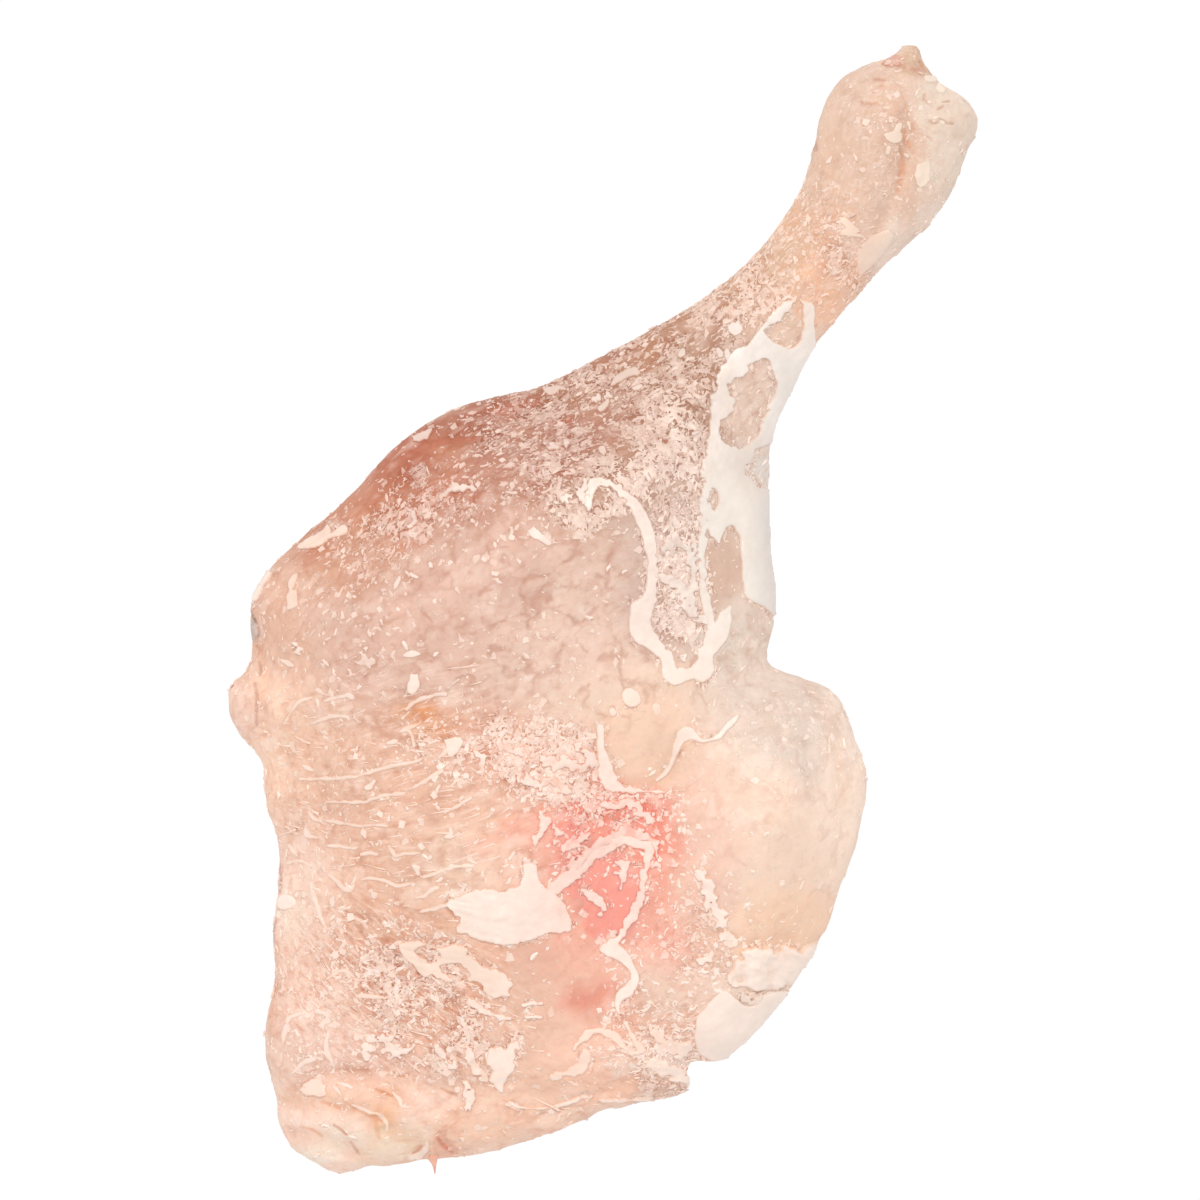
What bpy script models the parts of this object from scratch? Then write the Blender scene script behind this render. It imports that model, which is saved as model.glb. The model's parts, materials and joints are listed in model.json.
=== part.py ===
"""A raw frozen duck leg, lying on its meat side with the skin up: one solid.

The leg is a loft. Two edge curves run down it, one along the shin and the thigh's front, one along
the calf and the fat lobe. Ribs join them, and each rib carries a top sheet and an under sheet that
meet at the edges. Muscles, creases, folds and slabs of frost are named forms added to those sheets.

Plan positions are millimetres from about the middle of the leg's bounding box: +X towards the fat
lobe, +Y towards the knuckle. Heights are millimetres above the surface that the leg lies on.
"""

import math

import bmesh
import bpy
import numpy as np
from mathutils import Vector, noise

MM = 0.001

# ---------------------------------------------------------------- driving dimensions, in millimetres

LEG_NAME = "duck_leg"
RIB_SEGMENTS = 32
CURVE_STEPS = 24

# Each stretch of the leg: its name, how many ribs cross it, and the points of its two edges in
# order from the knuckle to the tail. A stretch starts where the one above it ends.
STRETCHES = (
    (
        "knuckle",
        14,
        [(45.1, 84.7), (43.5, 82.6), (39.6, 81.3), (35.4, 79.0), (32.8, 74.6), (31.3, 68.7)],
        [(47.2, 84.7), (47.9, 81.6), (51.1, 77.9), (54.0, 76.4), (56.2, 72.8), (54.5, 68.6)],
    ),
    (
        "shank",
        12,
        [(30.7, 64.8), (28.0, 59.6), (23.6, 53.8), (17.8, 48.4)],
        [(53.0, 64.6), (50.1, 58.9), (43.7, 52.9), (37.8, 46.7)],
    ),
    (
        "drumstick",
        22,
        [(7.5, 41.9), (-7.9, 33.9), (-13.0, 32.3), (-21.5, 30.6), (-31.8, 24.0), (-35.4, 19.5)]
        + [(-38.8, 16.1), (-52.2, 3.4), (-52.5, -8.0)],
        [(32.8, 40.8), (30.3, 37.4), (28.4, 32.8), (25.3, 26.4), (24.8, 12.0), (25.9, -0.5)]
        + [(24.2, -8.6)],
    ),
    (
        "thigh",
        24,
        [(-56.2, -11.6), (-55.4, -17.8), (-50.9, -23.2), (-51.0, -28.6), (-49.1, -33.4)]
        + [(-48.7, -41.0), (-49.6, -49.2), (-49.2, -55.4), (-51.0, -65.0)],
        [(29.4, -9.9), (35.8, -13.4), (37.8, -19.4), (39.7, -25.6), (38.0, -36.0), (35.2, -42.4)]
        + [(33.7, -48.3), (29.5, -54.0), (27.4, -58.4), (20.7, -66.0), (17.7, -68.2), (14.4, -67.6)],
    ),
    (
        "tail",
        9,
        [(-49.1, -74.0), (-48.2, -79.4), (-45.2, -82.3), (-39.4, -85.5)],
        [(12.3, -69.1), (13.1, -71.1), (12.5, -73.1)],
    ),
)

# The tail's cut edge is not straight: it bows outwards in one broad swelling and inwards in a short
# bay. Each has its middle and its half width as shares of the edge's length, counted from the shin
# side, and how far it stands out.
TAIL_BOWS = ((0.42, 0.22, 2.2), (0.765, 0.055, -1.1))

# Across the leg's length: the rib that each station stands at, how far the underside hangs clear
# there, how high the widest line runs above that, how far in from the edge the flank rolls over,
# and how far the crown rises above the widest line before any muscle.
#    station               rib   lift  widest  roll   rise
SECTIONS = (
    ("tip of the nub",       0,  11.0,   2.6,   2.2,   2.6),
    ("knuckle",              5,   5.0,   9.5,  11.5,  11.0),
    ("neck of the shank",   19,   5.5,   8.5,   9.5,   9.0),
    ("belly of the calf",   35,   0.0,  10.0,  14.0,   9.5),
    ("knee and notch",      48,   0.0,   8.5,  15.0,  10.0),
    ("front of the tail",   72,   0.0,   6.0,  10.0,   8.0),
    ("cut edge",            81,   0.0,   4.5,   7.0,   5.5),
)
UNDER_ROLL = 7.0

# Muscles, creases and hollows fade out towards the edge, so that it stays one clean line: they
# reach full height at about the roll of the flank, sooner where this number is larger.
SHOULDER_SLOPE = 2.0

# Smooth swellings and hollows of the skin side: centre x and y, long and short radius, turn of the
# long radius from +X in degrees, and height.
MOUNDS = {
    "calf muscle": (-9.0, 12.0, 36.0, 21.0, 36.0, 16.0),
    "knee": (-42.0, -2.0, 13.0, 11.0, 20.0, 4.0),
    "thigh muscle": (-22.0, -33.0, 27.0, 25.0, -60.0, 11.5),
    "knee fat": (6.5, -16.5, 12.0, 8.5, 8.0, 4.0),
    "fat lobe": (26.0, -31.0, 21.0, 12.0, 76.0, 7.5),
    "hip hollow": (2.0, -41.0, 13.0, 9.0, 70.0, -3.0),
    "tail fold": (-33.0, -76.0, 16.0, 6.0, -12.0, 3.0),
    "shank tendon": (31.0, 55.0, 16.0, 4.0, 58.0, 1.6),
    "outer condyle": (38.0, 72.0, 8.0, 6.0, 70.0, 1.6),
    "inner condyle": (50.5, 70.0, 9.0, 4.5, 75.0, 1.2),
    "knee tag": (-54.0, -14.8, 5.0, 2.4, 88.0, 1.6),
}

# Hollows of the side that the leg lies on, given in the same way.
UNDER_HOLLOWS = {
    "back of the knee": (-14.0, -7.0, 30.0, 7.0, -6.0, 2.4),
    "under the hip": (4.0, -46.0, 17.0, 9.0, 40.0, 1.6),
}

# Lines pressed into the skin: points, half width and depth.
CREASES = {
    "lobe crease": ([(25.0, -7.8), (21.4, -14.0), (17.0, -19.6), (10.5, -24.8)], 4.8, 2.8),
    "knuckle groove": ([(48.5, 79.0), (45.6, 73.0), (45.2, 66.0), (42.0, 58.0)], 1.8, 1.6),
    "tag crease": ([(-51.5, -5.5), (-51.2, -12.0), (-51.6, -18.0), (-51.8, -22.0)], 1.6, 2.6),
    "tail crease": (
        [(-46.0, -71.0), (-39.0, -69.8), (-30.0, -70.2), (-23.0, -73.0), (-18.5, -77.5)],
        2.0,
        1.7,
    ),
    "hip crease": ([(-14.0, -72.0), (-4.0, -74.0), (6.0, -71.6), (12.0, -69.8)], 2.0, 1.0),
}

# Slabs and lumps of frost frozen onto the leg: centre x and y, radius and thickness. Their tops are
# flat and their sides steep, steeper where SLAB_SIDES is larger.
SLAB_SIDES = 8
FROST_LUMPS = {
    "edge slab": (19.6, -63.0, 6.4, 1.5),
    "upper lump": (25.5, -55.5, 4.6, 1.2),
    "outer lump": (29.6, -52.4, 3.6, 1.0),
    "hip slab": (-14.0, -45.5, 7.4, 0.7),
}

# Slow natural lumpiness: its height, and how far apart its lumps are.
UNEVENNESS = 0.55
UNEVEN_SIZE = 9.0

SKIN_COLOUR = (0.84, 0.58, 0.44, 1.0)
SKIN_ROUGHNESS = 0.45


# ---------------------------------------------------------------- curves in plan


def smooth_curve(points, steps):
    """Points of a Catmull-Rom curve through `points`, with `steps` of them to each span."""
    p = np.array(points, float)
    p = np.vstack([2 * p[0] - p[1], p, 2 * p[-1] - p[-2]])
    t = np.linspace(0.0, 1.0, steps, endpoint=False)[:, None]
    spans = []
    for a, b, c, d in zip(p, p[1:], p[2:], p[3:]):
        spans.append(
            0.5
            * (
                2 * b
                + (c - a) * t
                + (2 * a - 5 * b + 4 * c - d) * t**2
                + (3 * b - 3 * c + d - a) * t**3
            )
        )
    return np.vstack(spans + [p[-2:-1]])


def evenly(curve, count):
    """`count` points spread evenly along a finely divided curve, leaving out its first point."""
    run = np.concatenate([[0.0], np.cumsum(np.linalg.norm(np.diff(curve, axis=0), axis=1))])
    wanted = np.linspace(0.0, run[-1], count + 1)[1:]
    return np.column_stack([np.interp(wanted, run, curve[:, k]) for k in (0, 1)])


def edge_of_ribs(side):
    """Where each rib ends on one side of the leg: side 0 is the shin's, side 1 the calf's."""
    points = [point for stretch in STRETCHES for point in stretch[2 + side]]
    curve = smooth_curve(points, CURVE_STEPS)
    ends = [curve[:1]]
    passed = 0
    for stretch in STRETCHES:
        last = passed + (len(stretch[2 + side]) - (1 if passed == 0 else 0)) * CURVE_STEPS
        ends.append(evenly(curve[passed : last + 1], stretch[1]))
        passed = last
    return np.vstack(ends)


def distance_to_line(points, line):
    """Distance from each point to a line of straight pieces."""
    a, b = line[:-1], line[1:]
    along = b - a
    share = ((points[:, None] - a) * along).sum(2) / (along**2).sum(1)
    nearest = a + np.clip(share, 0.0, 1.0)[..., None] * along
    return np.linalg.norm(points[:, None] - nearest, axis=2).min(1)


# ---------------------------------------------------------------- heights


def quarter_round(share):
    """0 at the edge, rising as a quarter circle to 1 where share reaches 1."""
    return np.sqrt(np.clip(1.0 - (1.0 - np.clip(share, 0.0, 1.0)) ** 2, 0.0, 1.0))


def section_values(rib):
    """Lift, widest line, roll and rise at each rib, eased from station to station of SECTIONS."""
    stations = np.arange(len(SECTIONS))
    place = np.interp(rib, [row[1] for row in SECTIONS], stations)
    share = place - np.floor(place)
    eased = np.floor(place) + share * share * (3.0 - 2.0 * share)
    return [np.interp(eased, stations, [row[k] for row in SECTIONS]) for k in (2, 3, 4, 5)]


def mound(points, centre_x, centre_y, long_radius, short_radius, turn, height):
    """A smooth oval swelling."""
    angle = math.radians(turn)
    offset = points - (centre_x, centre_y)
    along = offset @ (math.cos(angle), math.sin(angle)) / long_radius
    across = offset @ (-math.sin(angle), math.cos(angle)) / short_radius
    return height * np.exp(-(along**2 + across**2))


def relief(points):
    """Everything that the muscles, creases and frost add to the skin side."""
    height = sum(mound(points, *sizes) for sizes in MOUNDS.values())
    for line, half_width, depth in CREASES.values():
        away = distance_to_line(points, smooth_curve(line, 6)) / half_width
        height = height - depth * np.exp(-(away**2))
    for centre_x, centre_y, radius, thickness in FROST_LUMPS.values():
        away = np.linalg.norm(points - (centre_x, centre_y), axis=1) / radius
        height = height + thickness / (1.0 + away**SLAB_SIDES)
    return height


def unevenness(points, seed_height):
    """Slow natural lumpiness, the same each run."""
    return UNEVENNESS * np.array(
        [noise.noise(Vector((x / UNEVEN_SIZE, y / UNEVEN_SIZE, seed_height))) for x, y in points]
    )


# ---------------------------------------------------------------- the solid


def rib_points():
    """Plan position and rib number of every point of a sheet, rib by rib."""
    left, right = edge_of_ribs(0), edge_of_ribs(1)
    share = 0.5 - 0.5 * np.cos(np.linspace(0.0, math.pi, RIB_SEGMENTS + 1))
    plan = left[:, None] + (right - left)[:, None] * share[None, :, None]
    ribs = np.repeat(np.arange(len(left)), RIB_SEGMENTS + 1).reshape(len(left), -1)
    tail_ribs = STRETCHES[-1][1]
    nearness = np.clip((ribs - (len(left) - 1 - tail_ribs)) / tail_ribs, 0.0, 1.0) ** 2
    across = right[-1] - left[-1]
    outwards = np.array([across[1], -across[0]]) / np.linalg.norm(across)
    bow = sum(height * np.exp(-(((share - middle) / half) ** 2)) for middle, half, height in TAIL_BOWS)
    plan = plan + (nearness * bow)[..., None] * outwards
    return plan.reshape(-1, 2), ribs.ravel()


def outline_of(plan):
    """The closed line round the sheet's edge: down the shin, across the tail, up the calf."""
    grid = plan.reshape(-1, RIB_SEGMENTS + 1, 2)
    return np.vstack([grid[:, 0], grid[-1, 1:], grid[-2::-1, -1], grid[0, -2::-1]])


def sheet_heights(plan, ribs):
    """Heights of the top sheet and the under sheet at each plan position."""
    inwards = distance_to_line(plan, outline_of(plan))
    lift, widest, roll, rise = section_values(ribs)
    over = quarter_round(inwards / roll)
    shoulder = 1.0 - np.exp(-((inwards / roll) ** 2) * SHOULDER_SLOPE)
    top = lift + widest + rise * over + relief(plan) * shoulder + unevenness(plan, 0.0) * over
    hollows = sum(mound(plan, *sizes) for sizes in UNDER_HOLLOWS.values())
    curled_under = quarter_round(inwards / np.minimum(UNDER_ROLL, roll))
    under = lift + widest * (1.0 - curled_under) + hollows * shoulder
    return top, under


def add_sheet(bm, plan, heights, facing_up):
    """A grid laid over the ribs, each vertex moved to its plan position and height."""
    rib_count = len(plan) // (RIB_SEGMENTS + 1)
    made = bmesh.ops.create_grid(bm, x_segments=RIB_SEGMENTS, y_segments=rib_count - 1, size=1.0)
    verts = made["verts"]
    for vert, (x, y), z in zip(verts, plan, heights):
        vert.co = Vector((x, y, z)) * MM
    faces = {face for vert in verts for face in vert.link_faces}
    bmesh.ops.recalc_face_normals(bm, faces=list(faces))
    if (sum(face.normal.z for face in faces) > 0) != facing_up:
        bmesh.ops.reverse_faces(bm, faces=list(faces))


def leg_mesh():
    """The closed leg: the top sheet and the under sheet, welded along their shared edge.

    It is moved a fraction of a millimetre, to put the middle of its bounding box at the origin.
    """
    plan, ribs = rib_points()
    top, under = sheet_heights(plan, ribs)
    plan = plan - (plan.min(axis=0) + plan.max(axis=0)) / 2
    bm = bmesh.new()
    add_sheet(bm, plan, top, True)
    add_sheet(bm, plan, under, False)
    bmesh.ops.remove_doubles(bm, verts=bm.verts, dist=0.00001)
    bmesh.ops.recalc_face_normals(bm, faces=bm.faces)
    mesh = bpy.data.meshes.new(LEG_NAME)
    bm.to_mesh(mesh)
    bm.free()
    mesh.shade_smooth()
    return mesh


def skin_material():
    """Pale duck skin, waxy under its frost."""
    material = bpy.data.materials.new("duck_skin")
    material.use_nodes = True
    surface = material.node_tree.nodes["Principled BSDF"]
    surface.inputs["Base Color"].default_value = SKIN_COLOUR
    surface.inputs["Roughness"].default_value = SKIN_ROUGHNESS
    surface.inputs["Metallic"].default_value = 0.0
    return material


def build():
    for leftover in list(bpy.data.objects):
        bpy.data.objects.remove(leftover, do_unlink=True)
    collection = bpy.data.collections.new("raw_duck_leg")
    bpy.context.scene.collection.children.link(collection)
    leg = bpy.data.objects.new(LEG_NAME, leg_mesh())
    leg.data.materials.append(skin_material())
    collection.objects.link(leg)


build()
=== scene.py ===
# %% [markdown]
# # A raw duck leg, frozen and frosted
# The real thing is a duck leg out of the freezer: one piece of meat under pale, waxy skin, with the
# knuckle at the top and the cut tail end at the bottom. Frost has settled on it in many forms: fine
# flecks, loose crumbs, plates, curls and needles, raised strands, crumbly heaps, and smooth films
# and slabs of ice that have crisp, wandering edges. The skin under it goes from cream to peach,
# brown and a little raw red.
#
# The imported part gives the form. It is loaded first, and every size below is worked out around it.

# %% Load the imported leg
import json
import math

import bmesh
import bpy
import numpy as np
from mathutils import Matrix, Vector
from mathutils.bvhtree import BVHTree

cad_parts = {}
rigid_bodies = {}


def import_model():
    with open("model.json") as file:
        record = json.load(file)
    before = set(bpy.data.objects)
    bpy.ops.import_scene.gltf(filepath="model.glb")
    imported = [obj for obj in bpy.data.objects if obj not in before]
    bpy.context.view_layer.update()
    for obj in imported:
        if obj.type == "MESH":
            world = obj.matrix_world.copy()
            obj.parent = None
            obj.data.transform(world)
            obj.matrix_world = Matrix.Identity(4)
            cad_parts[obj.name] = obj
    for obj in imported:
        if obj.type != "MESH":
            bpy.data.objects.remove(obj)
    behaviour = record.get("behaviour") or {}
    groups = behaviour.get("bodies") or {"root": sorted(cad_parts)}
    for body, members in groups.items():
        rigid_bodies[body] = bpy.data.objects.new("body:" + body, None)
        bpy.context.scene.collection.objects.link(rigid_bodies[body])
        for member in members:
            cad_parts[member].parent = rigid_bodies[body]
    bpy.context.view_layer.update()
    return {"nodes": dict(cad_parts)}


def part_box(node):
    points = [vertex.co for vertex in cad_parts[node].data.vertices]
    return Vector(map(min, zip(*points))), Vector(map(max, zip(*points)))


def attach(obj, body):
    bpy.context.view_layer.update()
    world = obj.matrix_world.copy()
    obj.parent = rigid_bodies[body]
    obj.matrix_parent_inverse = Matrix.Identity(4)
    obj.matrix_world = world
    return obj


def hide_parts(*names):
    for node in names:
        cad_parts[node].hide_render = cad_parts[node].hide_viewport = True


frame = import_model()
leg_low, leg_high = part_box("duck_leg")
MM = 0.001
print("leg in mm:", [round(side / MM, 1) for side in leg_high - leg_low])

# %% [markdown]
# ## Where a point of the leg shows in the photograph
# The photograph looks straight down, so a long lens high above the leg gives the same view. Patches
# of colour and films of ice are easiest to place by where they show in the picture. That needs one
# honest rule from a point in space to a pixel, and here it is the camera's own perspective.

# %% The camera and its rule
PHOTO_PIXELS = 1200
PIXEL = 0.15 * MM
WIDEST_LINE = leg_low.z + 10.0 * MM
PHOTO_MIDDLE = Vector((-0.35 * MM, 1.78 * MM, WIDEST_LINE))
CAMERA_RISE = 1.2
SENSOR = 36.0

lens = bpy.data.cameras.new("camera_above")
lens.sensor_width = SENSOR
lens.lens = SENSOR * CAMERA_RISE / (PHOTO_PIXELS * PIXEL)
camera = bpy.data.objects.new("camera_above", lens)
camera.location = PHOTO_MIDDLE + Vector((0.0, 0.0, CAMERA_RISE))
bpy.context.scene.collection.objects.link(camera)
bpy.context.scene.camera = camera


def photo_places(points):
    """The photograph's pixel that shows each point of the leg."""
    spread = CAMERA_RISE / (CAMERA_RISE - (points[:, 2] - PHOTO_MIDDLE.z)) / PIXEL
    across = (points[:, 0] - PHOTO_MIDDLE.x) * spread
    down = (PHOTO_MIDDLE.y - points[:, 1]) * spread
    return np.column_stack([across, down]) + PHOTO_PIXELS / 2


def sight_lines(pixels):
    """The direction from the camera through each pixel."""
    across = (pixels[:, 0] - PHOTO_PIXELS / 2) * PIXEL
    up = (PHOTO_PIXELS / 2 - pixels[:, 1]) * PIXEL
    return np.column_stack([across, up, np.full(len(pixels), -CAMERA_RISE)])


print("lens of", round(lens.lens), "mm, at", round(camera.location.z, 2), "m")

# %% [markdown]
# ## Tools for natural shapes
# Skin and frost have no straight edges. Everything below is drawn with five small tools: smooth
# noise, a smooth step, the distance to a line, the distance to an outline, and a soft oval. A film
# of ice is then a signed distance, above zero inside, and noise added to it makes its edge wander.
# A patch of colour or of frost is a soft oval, read at places that noise has pushed about.

# %% Smooth noise and smooth steps
LATTICE = 64


def soft_noise(points, size, seed):
    """Smooth noise from -1 to 1 at points of two or three dimensions, its bumps `size` across."""
    points = np.asarray(points, float) / size
    values = np.random.default_rng(seed).uniform(-1.0, 1.0, (LATTICE,) * points.shape[1])
    cell = np.floor(points).astype(int)
    share = points - cell
    share = share * share * (3.0 - 2.0 * share)
    total = np.zeros(len(points))
    for corner in np.ndindex((2,) * points.shape[1]):
        weight = np.prod(np.where(np.array(corner) == 1, share, 1.0 - share), axis=1)
        total += weight * values[tuple(((cell + corner) % LATTICE).T)]
    return total


def rough_noise(points, size, seed, layers=3):
    """Layers of smooth noise, each half as wide and half as strong as the one before."""
    return sum(soft_noise(points, size / 2**k, seed + k) / 2**k for k in range(layers))


def smooth_step(value, low, high):
    """0 below low, 1 above high, and an eased rise between them."""
    share = np.clip((value - low) / (high - low), 0.0, 1.0)
    return share * share * (3.0 - 2.0 * share)


# %% Distances to lines and outlines
FAR = 40.0


def smooth_line(rows, steps=6, closed=False):
    """A smooth line through rows of numbers: a place, and a half width where it has one."""
    rows = np.array(rows, float)
    if closed:
        rows = np.vstack([rows[-1], rows, rows[:2]])
    else:
        rows = np.vstack([2 * rows[0] - rows[1], rows, 2 * rows[-1] - rows[-2]])
    share = np.linspace(0.0, 1.0, steps, endpoint=False)[:, None]
    spans = [
        b + 0.5 * share * (c - a + share * (2 * a - 5 * b + 4 * c - d + share * (3 * (b - c) + d - a)))
        for a, b, c, d in zip(rows, rows[1:], rows[2:], rows[3:])
    ]
    return np.vstack(spans if closed else spans + [rows[-2:-1]])


def near_line(places, line, reach):
    """The places in the box round a line, widened by a reach in pixels."""
    low = line[:, :2].min(axis=0) - reach
    high = line[:, :2].max(axis=0) + reach
    return np.flatnonzero(np.all((places > low) & (places < high), axis=1))


def crooked_sides(number):
    """The sides of a crooked five-cornered chip, each a direction over its reach."""
    chance = np.random.default_rng(number)
    turns = (np.arange(5) + chance.uniform(-0.3, 0.3, 5) + chance.uniform(0.0, 5.0)) * 2 * math.pi / 5
    return np.column_stack([np.cos(turns), np.sin(turns)]) / chance.uniform(0.75, 1.15, 5)[:, None]


def inside_ribbon(places, spine, sides=None):
    """How far inside a ribbon each place lies. The spine's rows are x, y and half width.

    With sides given, their polygon is drawn along the spine in place of a circle.
    """
    line = smooth_line(spine)
    best = np.full(len(places), -FAR)
    close = near_line(places, line, FAR)
    spots = places[close]
    for start, end in zip(line, line[1:]):
        along = end[:2] - start[:2]
        share = np.clip((spots - start[:2]) @ along / (along @ along + 1e-9), 0.0, 1.0)
        offset = spots - start[:2] - share[:, None] * along
        away = np.linalg.norm(offset, axis=1) if sides is None else (offset @ sides.T).max(axis=1)
        best[close] = np.maximum(best[close], start[2] + share * (end[2] - start[2]) - away)
    return best


def inside_outline(places, corners):
    """How far inside a smooth closed outline each place lies, below zero outside it."""
    line = smooth_line(corners, steps=3, closed=True)
    inside = np.full(len(places), -FAR)
    close = near_line(places, line, FAR)
    spots = places[close]
    nearest = np.full(len(spots), FAR)
    crossings = np.zeros(len(spots), int)
    for (ax, ay), (bx, by) in zip(line, np.roll(line, -1, axis=0)):
        along = np.array([bx - ax, by - ay])
        share = np.clip((spots - (ax, ay)) @ along / (along @ along + 1e-9), 0.0, 1.0)
        away = np.linalg.norm(spots - (ax, ay) - share[:, None] * along, axis=1)
        nearest = np.minimum(nearest, away)
        spans = (spots[:, 1] < ay) != (spots[:, 1] < by)
        meets = ax + (spots[:, 1] - ay) / (by - ay or 1.0) * (bx - ax)
        crossings += spans & (spots[:, 0] < meets)
    inside[close] = np.where(crossings % 2 == 1, nearest, -nearest)
    return inside


# %% Soft ovals
def oval_share(places, middle_x, middle_y, radius_x, radius_y, turn, softness=0.5):
    """1 in the middle of an oval, falling to 0 across its soft rim."""
    angle = math.radians(turn)
    offset = places - (middle_x, middle_y)
    along = offset @ (math.cos(angle), -math.sin(angle)) / radius_x
    across = offset @ (math.sin(angle), math.cos(angle)) / radius_y
    return 1.0 - smooth_step(np.hypot(along, across), 1.0 - softness, 1.0 + softness)


# %% [markdown]
# ## The ice, as it lies in the photograph
# The ice is drawn before the skin, because the skin is whiter under its films. Each film, slab,
# ribbon, strand, flake and cluster keeps its own name and its own line. Places are pixels of the
# photograph, from its top left corner, and lines carry their half width in pixels too, so the
# shapes can be checked by eye.

# %% The big film on the calf: ring, strip, arm, cup and sheet
CALF_ICE_OUTLINES = {
    "ring round two bare patches": [
        (801, 300), (814, 306), (815, 328), (816, 346), (808, 374), (796, 396), (786, 420), (780, 440),
        (760, 448), (752, 462), (744, 468), (738, 486), (712, 492), (701, 480), (705, 452), (708, 430),
        (708, 406), (713, 386), (721, 368), (732, 351), (747, 345), (756, 333), (769, 316), (784, 302),
    ],
    "sheet on the flank": [
        (706, 484), (740, 470), (756, 486), (770, 489), (784, 500), (786, 590), (778, 618), (763, 607),
        (751, 601), (744, 593), (741, 572), (740, 548), (738, 533), (732, 526), (725, 529), (722, 538),
        (719, 546), (713, 541), (707, 531), (702, 508),
    ],
}
CALF_ICE_RIBBONS = {
    "strip below the ring": [
        (707, 486, 7), (703, 520, 5), (702, 560, 5), (703, 590, 5), (708, 610, 5), (713, 630, 6),
        (716, 640, 8),
    ],
    "arm beside the cup": [
        (588, 510, 2), (590, 497, 5), (595, 484, 6), (606, 482, 4), (622, 492, 5), (636, 508, 7),
        (646, 530, 7), (651, 552, 6), (652, 578, 6), (649, 598, 7), (640, 612, 12),
    ],
    "cup": [
        (640, 612, 12), (641, 630, 12), (655, 645, 8), (667, 660, 7), (672, 675, 9), (690, 674, 7),
        (703, 672, 9), (706, 655, 8), (716, 636, 11), (726, 615, 6), (730, 607, 2),
    ],
    "left line of the fat bulge": [
        (600, 727, 3), (601, 747, 4.2), (605, 766, 7.5), (609, 780, 8.5), (622, 788, 4.5),
        (640, 791, 3), (666, 792, 1.5),
    ],
    "right line of the fat bulge": [
        (657, 780, 2), (667, 771, 2.5), (674, 756, 3), (679, 740, 5), (686, 733, 7.5), (694, 736, 5),
        (703, 741, 2.5), (717, 737, 2.5), (726, 728, 3.5), (733, 721, 3), (739, 715, 1),
    ],
    "dot above the bulge": [(630, 697, 9), (632, 698, 9)],
    "small dot above the bulge": [(612, 711, 4), (613, 712, 4)],
}
CALF_ICE_HOLES = {
    "three-cornered bare patch": [
        (764, 331), (773, 325), (788, 311), (796, 300), (802, 304), (801, 330), (798, 342), (790, 347),
        (779, 343), (771, 338),
    ],
    "long bare patch": [
        (760, 359), (768, 360), (774, 376), (775, 388), (767, 412), (760, 426), (754, 438), (746, 446),
        (732, 447), (722, 437), (720, 425), (730, 415), (735, 403), (730, 393), (732, 381), (745, 376),
        (751, 363),
    ],
    "pinhole": [(713, 489), (719, 499), (714, 510), (708, 500)],
}

# %% The slabs and ribbons on the thigh
THIGH_ICE_OUTLINES = {
    "white slab": [
        (446, 903), (471, 891), (500, 890), (520, 886), (523, 865), (537, 865), (540, 882), (556, 895),
        (566, 906), (571, 930), (554, 933), (528, 941), (501, 945), (480, 938), (458, 930), (459, 918),
    ],
    "film below the slab": [
        (398, 943), (412, 940), (424, 942), (436, 948), (452, 944), (464, 945), (471, 957), (484, 965),
        (500, 971), (511, 982), (508, 995), (497, 998), (486, 994), (480, 984), (466, 980), (452, 983),
        (440, 980), (432, 974), (424, 977), (416, 968), (406, 960), (400, 952),
    ],
    "smooth edge slab": [
        (722, 989), (734, 996), (745, 1006), (757, 1003), (762, 995), (776, 991), (790, 992),
        (780, 1005), (766, 1020), (760, 1032), (748, 1040), (734, 1051), (719, 1061), (704, 1057),
        (697, 1048), (695, 1030), (699, 1014),
    ],
    "patch over the cut edge": [
        (519, 1038), (518, 1053), (512, 1071), (504, 1083), (503, 1093), (494, 1086), (488, 1080),
        (492, 1070), (484, 1064), (488, 1052), (494, 1046), (506, 1047), (512, 1041),
    ],
}
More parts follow.
